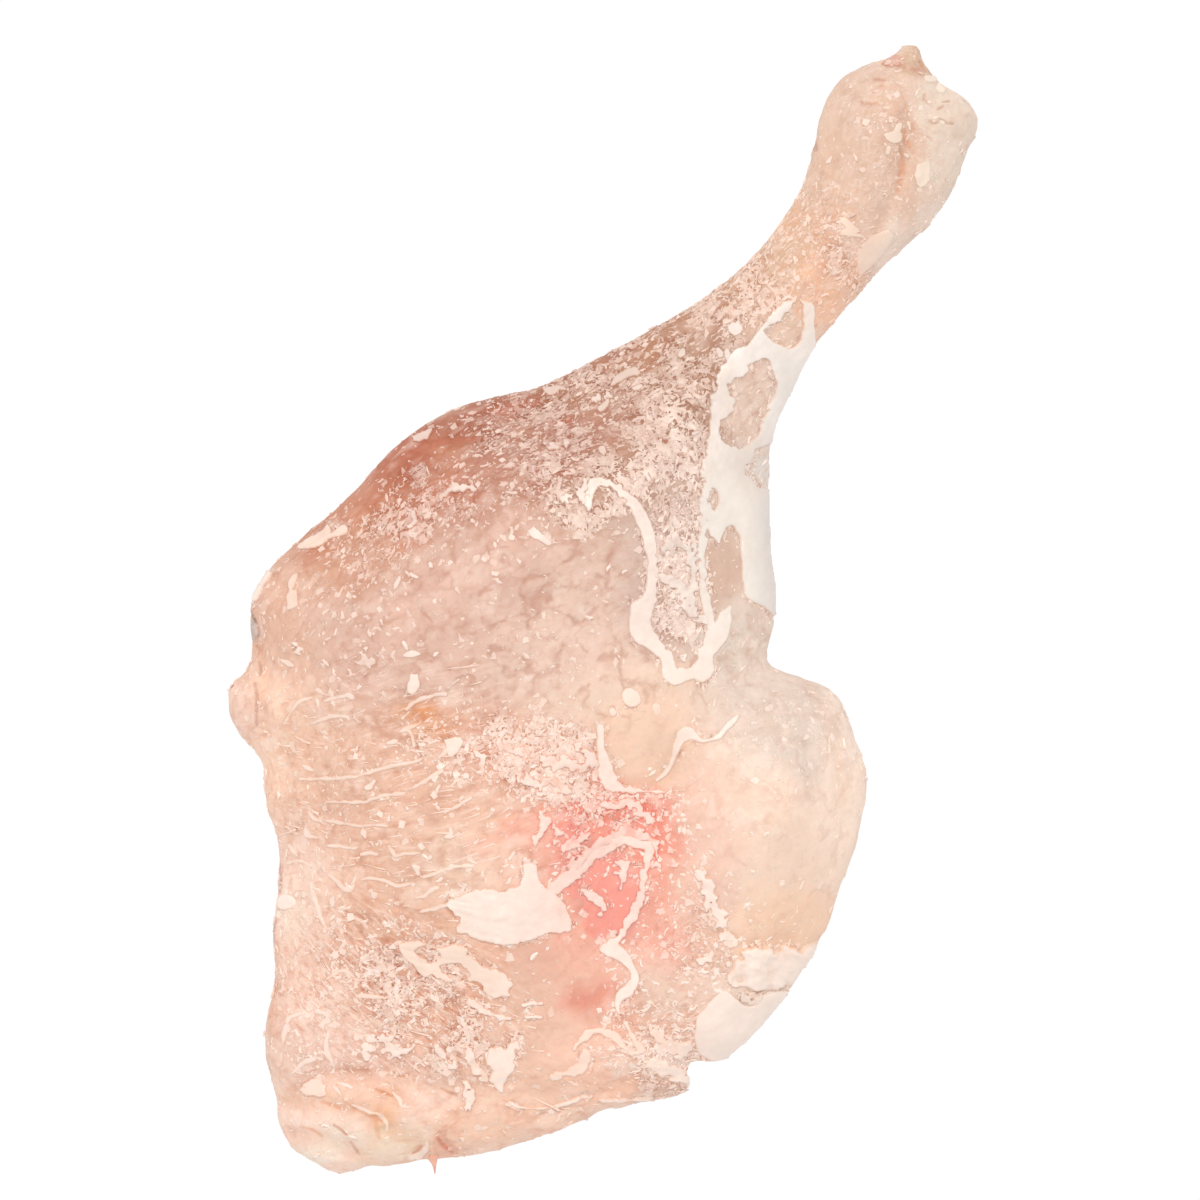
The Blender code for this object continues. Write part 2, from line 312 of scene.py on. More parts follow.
THIGH_ICE_RIBBONS = {
    "line round the raw patch": [
        (557, 886, 7.5), (570, 876, 7.5), (584, 863, 7), (597, 852, 6.5), (610, 844, 5.5),
        (624, 839, 5.5), (637, 842, 6), (648, 846, 6), (648, 857, 5), (645, 872, 4.2), (643, 888, 4.2),
        (639, 902, 4.6), (632, 917, 5), (625, 929, 4), (618, 939, 3.5), (606, 948, 7), (615, 950, 8.5),
        (625, 958, 6.5), (632, 969, 5), (635, 979, 5), (630, 988, 6.5), (621, 995, 6), (617, 1005, 3.5),
        (619, 1013, 1.5),
    ],
    "island in the raw patch": [
        (616, 862, 2.5), (625, 864, 5.5), (623, 873, 4), (622, 881, 3.2), (621, 886, 2),
    ],
    "spur of the island": [(609, 873, 0.8), (614, 873, 1.2), (620, 873, 2)],
    "lower island in the raw patch": [
        (583, 891, 2), (589, 893, 4.5), (596, 899, 5.5), (602, 906, 4), (600, 913, 2.5),
    ],
    "dots in the raw patch": [(637, 861, 1.4), (637, 864, 1.6)],
    "lower dots in the raw patch": [(632, 874, 1.6), (631, 876, 1.2)],
    "ribbon below it": [(469, 1001, 2.5), (485, 1011, 4), (500, 1017, 3), (514, 1019, 1)],
    "two short strokes": [(522, 1005, 2), (542, 1003, 1.5)],
    "lower stroke": [(526, 1017, 2), (544, 1017, 1)],
    "ribbon above the tail": [
        (573, 1048, 1.5), (587, 1035, 4), (600, 1031, 4), (612, 1035, 4), (624, 1046, 4),
        (636, 1054, 2.5), (646, 1050, 1.5),
    ],
    "pale stroke": [(626, 1023, 2), (634, 1040, 3), (642, 1050, 4)],
    "pale patch": [(586, 1055, 6), (579, 1068, 6), (553, 1077, 2.5)],
    "rim line": [
        (504, 1099, 1.2), (520, 1107, 1.6), (545, 1108, 1.4), (573, 1101, 1.6), (584, 1096, 1.2),
        (600, 1100, 1.6), (630, 1100, 1.3), (665, 1097, 1),
    ],
    "bead on the edge": [(285, 902, 8), (287, 903, 8)],
    "plate on the shin": [(300, 547, 3), (314, 543, 7), (326, 534, 6), (328, 524, 1.5)],
    "second plate on the shin": [(331, 537, 3), (343, 531, 5), (345, 528, 3)],
    "plate on the knee": [(255, 598, 4), (258, 588, 6), (266, 575, 5), (268, 571, 2)],
}
THIGH_ICE_HOLES = {
    "tan oval": [(416, 951), (424, 946), (434, 947), (440, 953), (436, 960), (424, 960)],
    "second tan oval": [(441, 967), (450, 964), (462, 966), (472, 974), (466, 979), (450, 976)],
}
CLUMP_OUTLINES = {
    "crumbly clump": [
        (738, 960), (748, 947), (763, 948), (775, 952), (785, 946), (799, 949), (816, 944), (822, 940),
        (806, 964), (797, 976), (783, 986), (769, 991), (757, 991), (746, 986), (733, 986), (727, 976),
    ],
}

# %% Strands: pale ridges of frost on the thigh, most with a thick bright end
STRANDS = {
    "top of the thigh": [
        [(284, 724, 0.8), (298, 703, 1.5), (311, 698, 1.5)],
        [(318, 690, 1.8), (323, 694, 1.6), (328, 695, 1)],
        [(325, 701, 1), (334, 698, 1.5), (343, 697, 1.8), (348, 695, 2.6), (351, 697, 3.2)],
        [(311, 724, 1), (324, 719, 1.8), (336, 716, 1.8), (346, 717, 1.8), (349, 720, 1)],
        [(407, 709, 1.6), (414, 702, 1.8), (428, 697, 2), (440, 694, 1.8), (446, 694, 1.4)],
        [(448, 688, 0.8), (458, 680, 1.3)],
        [(398, 733, 1), (406, 729, 2.6), (414, 726, 1.6), (420, 723, 1)],
        [(408, 730, 2), (413, 738, 1.6), (414, 746, 1)],
    ],
    "across the thigh": [
        [
            (300, 779, 0.8), (316, 779, 1.4), (335, 778, 2), (352, 777, 1.6), (368, 773, 2), (384, 768, 2),
            (400, 764, 2), (414, 762, 1.6), (422, 759, 1),
        ],
        [(434, 761, 1), (442, 755, 2), (448, 749, 3)],
        [(410, 790, 0.8), (420, 784, 1.8), (430, 778, 2), (438, 773, 1.8), (443, 771, 1)],
        [
            (326, 802, 0.8), (345, 802, 1.4), (365, 802, 1.6), (372, 799, 1.6), (383, 796, 2),
            (396, 794, 2), (405, 793, 1),
        ],
        [(445, 812, 1), (455, 808, 2), (464, 802, 1.6), (472, 797, 1)],
        [(309, 812, 1.2), (314, 818, 1.8), (323, 823, 1.2)],
        [
            (323, 820, 1), (336, 822, 1.4), (348, 824, 1.5), (360, 826, 1.2), (376, 825, 1.5),
            (388, 826, 1),
        ],
        [(306, 826, 1), (306, 831, 2.6), (309, 836, 2.2), (316, 837, 1), (322, 840, 1)],
        [(326, 846, 1), (340, 846, 1.6), (350, 848, 1.6), (357, 848, 1)],
        [(362, 854, 1.5), (370, 853, 1.8), (377, 854, 1.2)],
        [
            (389, 846, 1.5), (392, 852, 2), (396, 856, 1.5), (404, 854, 1.6), (412, 854, 1.6),
            (420, 853, 1),
        ],
        [(288, 863, 1.2), (298, 861, 1.4), (306, 863, 1.2), (310, 866, 1)],
    ],
    "above the band": [
        [(424, 877, 1), (434, 874, 1.6), (450, 868, 1.8), (462, 866, 1.6), (473, 866, 1)],
        [(289, 845, 1.5), (293, 851, 1.8), (297, 856, 1)],
        [(286, 827, 1), (292, 831, 1.2), (298, 834, 1)],
        [(311, 882, 1), (314, 896, 2), (318, 908, 1.8), (321, 919, 1.5), (327, 929, 1)],
        [(329, 875, 1), (337, 882, 1.6), (343, 888, 2), (350, 889, 3), (355, 884, 1)],
        [
            (360, 880, 1), (370, 878, 1.6), (382, 880, 1.2), (392, 884, 1.5), (398, 886, 1.8),
            (411, 884, 1.2),
        ],
        [(416, 898, 1), (424, 896, 2), (432, 890, 2.6), (438, 888, 2)],
        [(420, 912, 1), (432, 909, 2), (444, 906, 2), (453, 903, 1)],
    ],
    "low on the left": [
        [(356, 996, 1.2), (362, 996, 2.2), (374, 997, 2.2), (387, 998, 1)],
        [(327, 979, 1), (336, 973, 2), (346, 971, 1.5), (354, 977, 1.2)],
        [(286, 1019, 1), (296, 1015, 1.3), (303, 1013, 1.6), (308, 1016, 3)],
        [(283, 1043, 1), (284, 1036, 2.2), (286, 1029, 3), (287, 1026, 2.4)],
        [(288, 1077, 1), (296, 1070, 1.6), (304, 1063, 2.2), (311, 1060, 2.6), (315, 1060, 1.5)],
        [
            (328, 1031, 1), (327, 1040, 1.8), (326, 1047, 3), (328, 1054, 3), (331, 1060, 2),
            (334, 1067, 1),
        ],
        [(283, 980, 1.5), (283, 990, 1.5)],
    ],
    "tail": [
        [(376, 1113, 1), (383, 1118, 2), (387, 1124, 2), (387, 1130, 1.2)],
        [(352, 1105, 0.8), (364, 1110, 1.2), (376, 1114, 1)],
        [(333, 1086, 1), (338, 1091, 2), (341, 1096, 1)],
        [(338, 1083, 1), (346, 1085, 2), (352, 1088, 1)],
        [(427, 1141, 1.5), (425, 1150, 3), (418, 1156, 3.2), (410, 1158, 1.5)],
        [(393, 1093, 1), (400, 1100, 2), (402, 1106, 1.4), (411, 1107, 1)],
    ],
}

# %% Flakes: small bright plates, each where the photograph shows it
FLAKES = {
    "thigh": [
        [(458, 742, 5), (453, 748, 6), (451, 755, 2.5)],
        [(366, 788, 1.5), (371, 786, 3.6), (374, 781, 1.5)],
        [(437, 793, 1.4), (438, 788, 2.2), (440, 785, 1.2)],
        [(363, 829, 1.2), (364, 833, 3), (366, 838, 1)],
        [(389, 816, 1), (389, 820, 2.2)],
        [(407, 807, 1.6), (407, 809, 2)],
        [(413, 866, 1.5), (417, 869, 3.6), (418, 874, 1.8)],
        [(451, 829, 2), (451, 834, 2.4), (446, 837, 1.6), (455, 836, 1.4)],
        [(304, 765, 1), (308, 768, 2.8), (313, 771, 1)],
        [(414, 678, 5), (413, 685, 6), (411, 692, 3.5)],
        [(388, 743, 1.6), (393, 742, 2.2), (398, 742, 1)],
        [(411, 750, 2), (415, 750, 1.6)],
        [(428, 858, 1.6), (431, 857, 2.6)],
    ],
    "knee": [
        [(295, 577, 3), (292, 584, 3.6), (291, 590, 2)],
        [(293, 595, 5), (293, 603, 4.6), (290, 608, 2)],
        [(281, 660, 1.5), (288, 664, 2.6), (293, 666, 1.2)],
    ],
    "calf": [
        [(412, 575, 2.4), (417, 577, 2)],
        [(400, 578, 1.5), (397, 584, 2.4), (394, 590, 1)],
        [(404, 643, 2.4), (407, 649, 1.8)],
        [(404, 655, 1.6), (411, 654, 3), (420, 654, 1)],
        [(381, 621, 1.5), (384, 627, 1.2)],
        [(435, 655, 2.2), (438, 653, 1.5)],
    ],
    "shin": [
        [(512, 485, 3), (511, 491, 1.5), (507, 493, 1.6), (516, 493, 1.6)],
        [(533, 532, 5), (541, 537, 4), (549, 543, 3)],
        [(545, 389, 2), (551, 391, 4), (559, 388, 3.4), (565, 389, 1.5)],
        [(601, 408, 3.6), (606, 404, 3), (608, 400, 1.5)],
        [(612, 385, 2), (620, 378, 4), (632, 372, 5), (638, 374, 3)],
        [(635, 389, 3), (641, 386, 3)],
        [(602, 449, 3.4), (604, 453, 3)],
    ],
    "beside the calf film": [
        [(727, 352, 3.6), (728, 358, 4), (730, 363, 3)],
        [(718, 350, 2.6), (721, 355, 3.4)],
        [(733, 327, 4.5), (739, 330, 4.5), (738, 322, 1.5)],
        [(683, 350, 2), (681, 354, 3.6)],
        [(693, 434, 2.2), (699, 432, 2)],
        [(682, 399, 1), (687, 397, 1.6)],
    ],
    "low on the shin": [
        [(416, 438, 3), (424, 436, 4), (431, 430, 2)],
    ],
    "knuckle": [
        [(889, 137, 4.6), (894, 138, 5.4), (899, 139, 4)],
        [(899, 125, 3.4), (898, 130, 3)],
        [(908, 123, 1.8), (910, 129, 1.8)],
        [(889, 148, 3), (887, 152, 2.4)],
        [(906, 155, 2.6), (908, 157, 2)],
        [(923, 168, 7), (922, 176, 7), (921, 183, 4)],
    ],
    "pad of the knuckle": [
        [(926, 78, 3), (933, 79, 3.6)],
        [(939, 88, 4.4), (941, 89, 4)],
        [(934, 118, 2), (937, 117, 1.6)],
        [(940, 121, 1.2), (943, 123, 1.8)],
    ],
    "shank": [
        [(861, 270, 4), (867, 259, 8), (876, 247, 9), (886, 236, 6)],
        [(841, 218, 1.5), (846, 222, 4.5), (852, 230, 5), (843, 233, 2.5), (862, 236, 2)],
        [(864, 239, 1.6), (865, 239, 1.5)],
    ],
}

# %% Clusters: crumbly heaps with ragged edges
CLUSTERS = {
    "low on the thigh": [
        [(306, 1090, 5), (314, 1088, 8), (319, 1088, 7), (322, 1094, 4)],
        [(358, 1047, 4), (366, 1046, 6), (371, 1050, 5), (366, 1055, 3)],
        [(384, 1050, 4), (391, 1049, 6), (398, 1053, 5), (407, 1050, 4), (413, 1047, 4)],
        [(466, 1052, 5), (473, 1062, 6), (481, 1073, 5), (488, 1080, 3)],
        [(465, 1084, 2), (468, 1094, 6), (469, 1104, 5), (470, 1110, 2)],
    ],
    "calf and shin": [
        [(575, 488, 2), (580, 492, 3.4), (584, 500, 4), (578, 497, 2), (586, 486, 3)],
        [(556, 500, 2), (566, 498, 3), (572, 496, 2)],
        [(412, 512, 4), (417, 519, 4), (412, 526, 3)],
        [(428, 486, 2), (432, 491, 2), (436, 488, 1.4)],
        [(451, 481, 2), (452, 487, 2.4), (460, 491, 3.4), (468, 488, 3), (475, 489, 1.6)],
        [(452, 488, 2), (447, 494, 2.6), (442, 499, 1.4)],
        [(548, 445, 2), (555, 448, 4), (564, 446, 3), (569, 444, 2)],
        [(366, 649, 1.5), (365, 657, 4), (371, 664, 4), (360, 664, 2)],
    ],
    "knee": [
        [(296, 645, 3), (299, 652, 5), (303, 658, 3)],
    ],
    "top of the calf": [
        [(593, 399, 3), (600, 398, 3.6), (606, 398, 2), (616, 399, 1.6), (623, 397, 1)],
    ],
    "streaky band": [
        [(318, 1012, 2), (326, 1018, 4), (322, 1026, 3)],
        [(352, 1034, 3), (362, 1038, 5), (376, 1040, 4), (392, 1038, 3)],
        [(436, 1046, 3), (444, 1056, 4), (452, 1066, 3)],
    ],
    "white crumbs": [
        [(476, 752, 3), (484, 760, 5), (482, 772, 4), (490, 784, 3)],
        [(498, 742, 3), (512, 752, 5), (524, 748, 4), (530, 758, 3)],
        [(540, 756, 4), (552, 764, 6), (566, 762, 6), (580, 770, 4)],
        [(520, 776, 4), (536, 784, 5), (552, 782, 4), (566, 790, 4)],
        [(576, 744, 3), (588, 752, 5), (594, 764, 5), (596, 778, 4)],
        [(600, 800, 3), (612, 806, 4), (626, 804, 5), (642, 808, 4)],
    ],
    "inside the cup": [
        [(660, 574, 4), (672, 582, 7), (684, 590, 7), (694, 600, 5)],
        [(682, 606, 5), (694, 612, 6), (702, 620, 4)],
        [(694, 636, 3), (690, 648, 4), (684, 656, 3)],
        [(664, 548, 3), (676, 544, 5), (686, 550, 4)],
        [(695, 545, 3), (692, 560, 5), (692, 578, 5), (690, 596, 6), (680, 606, 5)],
        [(671, 546, 3), (674, 552, 4), (672, 560, 3)],
    ],
    "round the raw red": [
        [(552, 826, 3), (557, 832, 6), (554, 840, 3)],
        [(540, 812, 3), (546, 822, 4), (538, 834, 4), (530, 846, 3)],
        [(566, 846, 4), (580, 840, 5), (592, 832, 4)],
        [(640, 812, 4), (650, 820, 5), (656, 832, 4)],
    ],
    "low right": [
        [(652, 1034, 4), (664, 1042, 6), (678, 1050, 8), (690, 1045, 5)],
        [(654, 1064, 5), (668, 1070, 7), (682, 1078, 6), (690, 1086, 4)],
    ],
    "along the lobe": [
        [(700, 873, 5), (708, 886, 8), (713, 897, 6)],
        [(709, 904, 4), (718, 912, 7), (722, 923, 6)],
        [(724, 933, 5), (731, 943, 5.5)],
    ],
    "by the clump": [
        [(716, 944, 3), (710, 956, 4), (700, 962, 3)],
        [(744, 996, 3), (752, 1002, 5), (758, 996, 3)],
    ],
    "above the ribbon": [
        [
            (561, 874, 4), (575, 863, 5), (589, 852, 6), (603, 842, 6.5), (617, 835, 7), (632, 832, 7),
            (648, 838, 5), (656, 850, 3.5), (657, 866, 2.5),
        ],
    ],
}

# %% How far inside the ice a place lies
EDGE_WANDER = 1.1
EDGE_WANDER_SIZE = 9.0
TEETH = 2.2
TEETH_SIZE = 5.0
TOOTHED_EDGES = {
    # name: (middle x, y, radii x, y in pixels, turn in degrees)
    "left side of the ring": (722, 400, 22, 90, 22),
    "left side of the strip": (700, 520, 14, 90, 0),
    "arm": (604, 492, 34, 24, -20),
    "inside of the cup": (682, 640, 28, 36, 0),
    "inside of the arm": (661, 575, 10, 50, 0),
    "three-cornered patch": (786, 326, 20, 26, 30),
    "long patch": (752, 400, 22, 46, 10),
    "round the raw patch": (610, 880, 56, 66, 30),
    "slab": (500, 915, 70, 34, 0),
    "strokes": (480, 980, 70, 40, -30),
    "above the tail": (560, 1050, 90, 40, 0),
    "left line of the fat bulge": (610, 780, 30, 24, 0),
}


def inside_ice(places, outlines, ribbons, holes=(), seed=5):
    """Pixels inside the nearest ice, below zero on bare skin, with a wandering, toothed edge."""
    deepest = np.full(len(places), -1e3)
    for corners in outlines.values():
        deepest = np.maximum(deepest, inside_outline(places, corners))
    for spine in ribbons.values():
        deepest = np.maximum(deepest, inside_ribbon(places, spine))
    for corners in dict(holes).values():
        deepest = np.minimum(deepest, -inside_outline(places, corners))
    toothed = np.max([oval_share(places, *sizes) for sizes in TOOTHED_EDGES.values()], axis=0)
    wander = EDGE_WANDER * rough_noise(places, EDGE_WANDER_SIZE, seed)
    return deepest + wander + TEETH * toothed * rough_noise(places, TEETH_SIZE, seed + 40, layers=2)


def all_rows(groups):
    """The rows of every group of a table, in order."""
    return [row for group in groups.values() for row in group]


def inside_calf_ice(places):
    return inside_ice(places, CALF_ICE_OUTLINES, CALF_ICE_RIBBONS, CALF_ICE_HOLES)


def inside_thigh_ice(places):
    return inside_ice(places, THIGH_ICE_OUTLINES, THIGH_ICE_RIBBONS, THIGH_ICE_HOLES)


ribbons = len(CALF_ICE_RIBBONS) + len(THIGH_ICE_RIBBONS)
print(ribbons, "ribbons and", len(all_rows(STRANDS)), "strands,", len(all_rows(FLAKES)), "flakes")

# %% [markdown]
# ## The skin's form
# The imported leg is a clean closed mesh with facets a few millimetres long. Real skin has wrinkles
# and pores finer than that. Subdividing rounds the facets, and a voxel remesh gives every part of
# the surface the same small faces, so that wrinkles can be pressed in anywhere. Sculpting in code
# then moves each vertex along its normal.

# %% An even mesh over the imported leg
SKIN_FACE = 0.65 * MM


def plain_mesh(source, name):
    """The object with its modifiers applied, as a new mesh."""
    graph = bpy.context.evaluated_depsgraph_get()
    mesh = bpy.data.meshes.new_from_object(source.evaluated_get(graph))
    mesh.name = name
    return mesh


def new_object(name, mesh):
    made = bpy.data.objects.new(name, mesh)
    bpy.context.scene.collection.objects.link(made)
    return made


def even_skin():
    """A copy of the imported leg, merged, rounded and remeshed."""
    bm = bmesh.new()
    bm.from_mesh(frame["nodes"]["duck_leg"].data)
    bmesh.ops.remove_doubles(bm, verts=bm.verts, dist=0.02 * MM)
    bmesh.ops.join_triangles(bm, faces=bm.faces, angle_face_threshold=0.7, angle_shape_threshold=3.0)
    mesh = bpy.data.meshes.new("leg_copy")
    bm.to_mesh(mesh)
    bm.free()
    copy = new_object("leg_copy", mesh)
    rounding = copy.modifiers.new("round the facets", "SUBSURF")
    rounding.levels = rounding.render_levels = 2
    remesh = copy.modifiers.new("even faces", "REMESH")
    remesh.mode = "VOXEL"
    remesh.voxel_size = SKIN_FACE
    smooth = copy.modifiers.new("smooth", "SMOOTH")
    smooth.factor = 0.5
    smooth.iterations = 3
    bpy.context.view_layer.update()
    made = plain_mesh(copy, "duck_leg_skin")
    bpy.data.objects.remove(copy)
    return made


def rows_of(items, what):
    """The three numbers that each of a mesh's items holds, as one row each."""
    values = np.empty(len(items) * 3, np.float32)
    items.foreach_get(what, values)
    return values.reshape(-1, 3).astype(float)


def triangles_of(mesh):
    return sum(len(face.vertices) - 2 for face in mesh.polygons)


skin_mesh = even_skin()
print("skin has", len(skin_mesh.polygons), "faces")

# %% [markdown]
# Folds, wrinkles and creases come next. A fold is a line in the photograph with a half width and a
# depth in millimetres, and the tail end has the deepest ones, where the skin rolls over the cut.
# Wrinkles that belong to a whole area, as on the fat lobe, are stretched noise limited to that area.
# A crease is finer than a face of the mesh, so the faces round each one are first cut in three.

# %% Folds and wrinkles
FOLDS = {
    # name: (line in the photograph, half width in mm, depth in mm, below zero for a ridge)
    "top of the tail roll": ([
        (288, 1098), (318, 1078), (350, 1073), (388, 1086), (408, 1104),
    ], 1.3, 0.55),
    "tail roll": ([
        (300, 1104), (330, 1106), (362, 1114), (386, 1124), (408, 1140), (420, 1152),
    ], 1.5, 0.6),
    "lower tail roll": ([(292, 1134), (322, 1140), (352, 1152), (370, 1164)], 1.4, 0.45),
    "tail ridge": ([(455, 1100), (500, 1122), (560, 1122), (620, 1104)], 1.6, -0.35),
    "knee fold": ([(258, 640), (266, 672), (262, 706), (266, 736)], 0.7, 0.5),
    "shin fold": ([(402, 470), (450, 446), (512, 424), (560, 398)], 1.3, 0.3),
    "calf fold": ([(372, 520), (420, 478), (476, 452), (540, 444)], 1.6, 0.25),
    "film step": ([(590, 486), (630, 512), (650, 552), (648, 596)], 2.2, -0.2),
    "bulge fold": ([(606, 720), (606, 764), (628, 786), (668, 776), (682, 742)], 1.2, 0.35),
    "knuckle split": ([(898, 84), (908, 130), (900, 180), (874, 236)], 0.8, 0.2),
    "pad edge": ([(938, 84), (928, 128), (924, 176), (900, 226)], 0.6, 0.2),
    "dome crease": ([(846, 92), (866, 106), (890, 108)], 0.7, 0.25),
    "lobe seam": ([(806, 684), (824, 716), (836, 752), (842, 800)], 1, 0.3),
    "lobe wrinkle": ([(752, 706), (778, 732), (806, 744)], 0.8, 0.25),
    "low seam": ([(690, 952), (716, 934), (742, 944), (790, 940)], 0.9, 0.3),
}
WRINKLED_AREAS = {
    # name: (middle x, y, radii x, y in pixels, turn in degrees, height in mm, length and width in mm)
    "lobe top": (792, 722, 74, 58, -20, 0.12, 3, 1.3),
    "tail end": (350, 1130, 110, 52, 12, 0.26, 8, 2.4),
    "tail right": (560, 1090, 120, 40, 12, 0.2, 4, 1.6),
    "thigh": (400, 860, 150, 170, -12, 0.13, 6, 1.2),
    "calf": (470, 600, 170, 110, 30, 0.1, 4, 1.8),
    "shank": (800, 260, 90, 90, 48, 0.08, 4, 1.4),
    "knuckle": (890, 140, 90, 110, 70, 0.06, 3, 1.6),
    "knee": (270, 640, 36, 90, 60, 0.14, 3.2, 1.8),
}


def stretched(points, turn, length, width):
    """Points in a frame where a wrinkle `length` long and `width` wide has a size of one."""
    angle = math.radians(turn)
    along = (points[:, 0] * math.cos(angle) + points[:, 1] * math.sin(angle)) / (length * MM)
    across = (points[:, 1] * math.cos(angle) - points[:, 0] * math.sin(angle)) / (width * MM)
    return np.column_stack([along, across, points[:, 2] / (width * MM)])


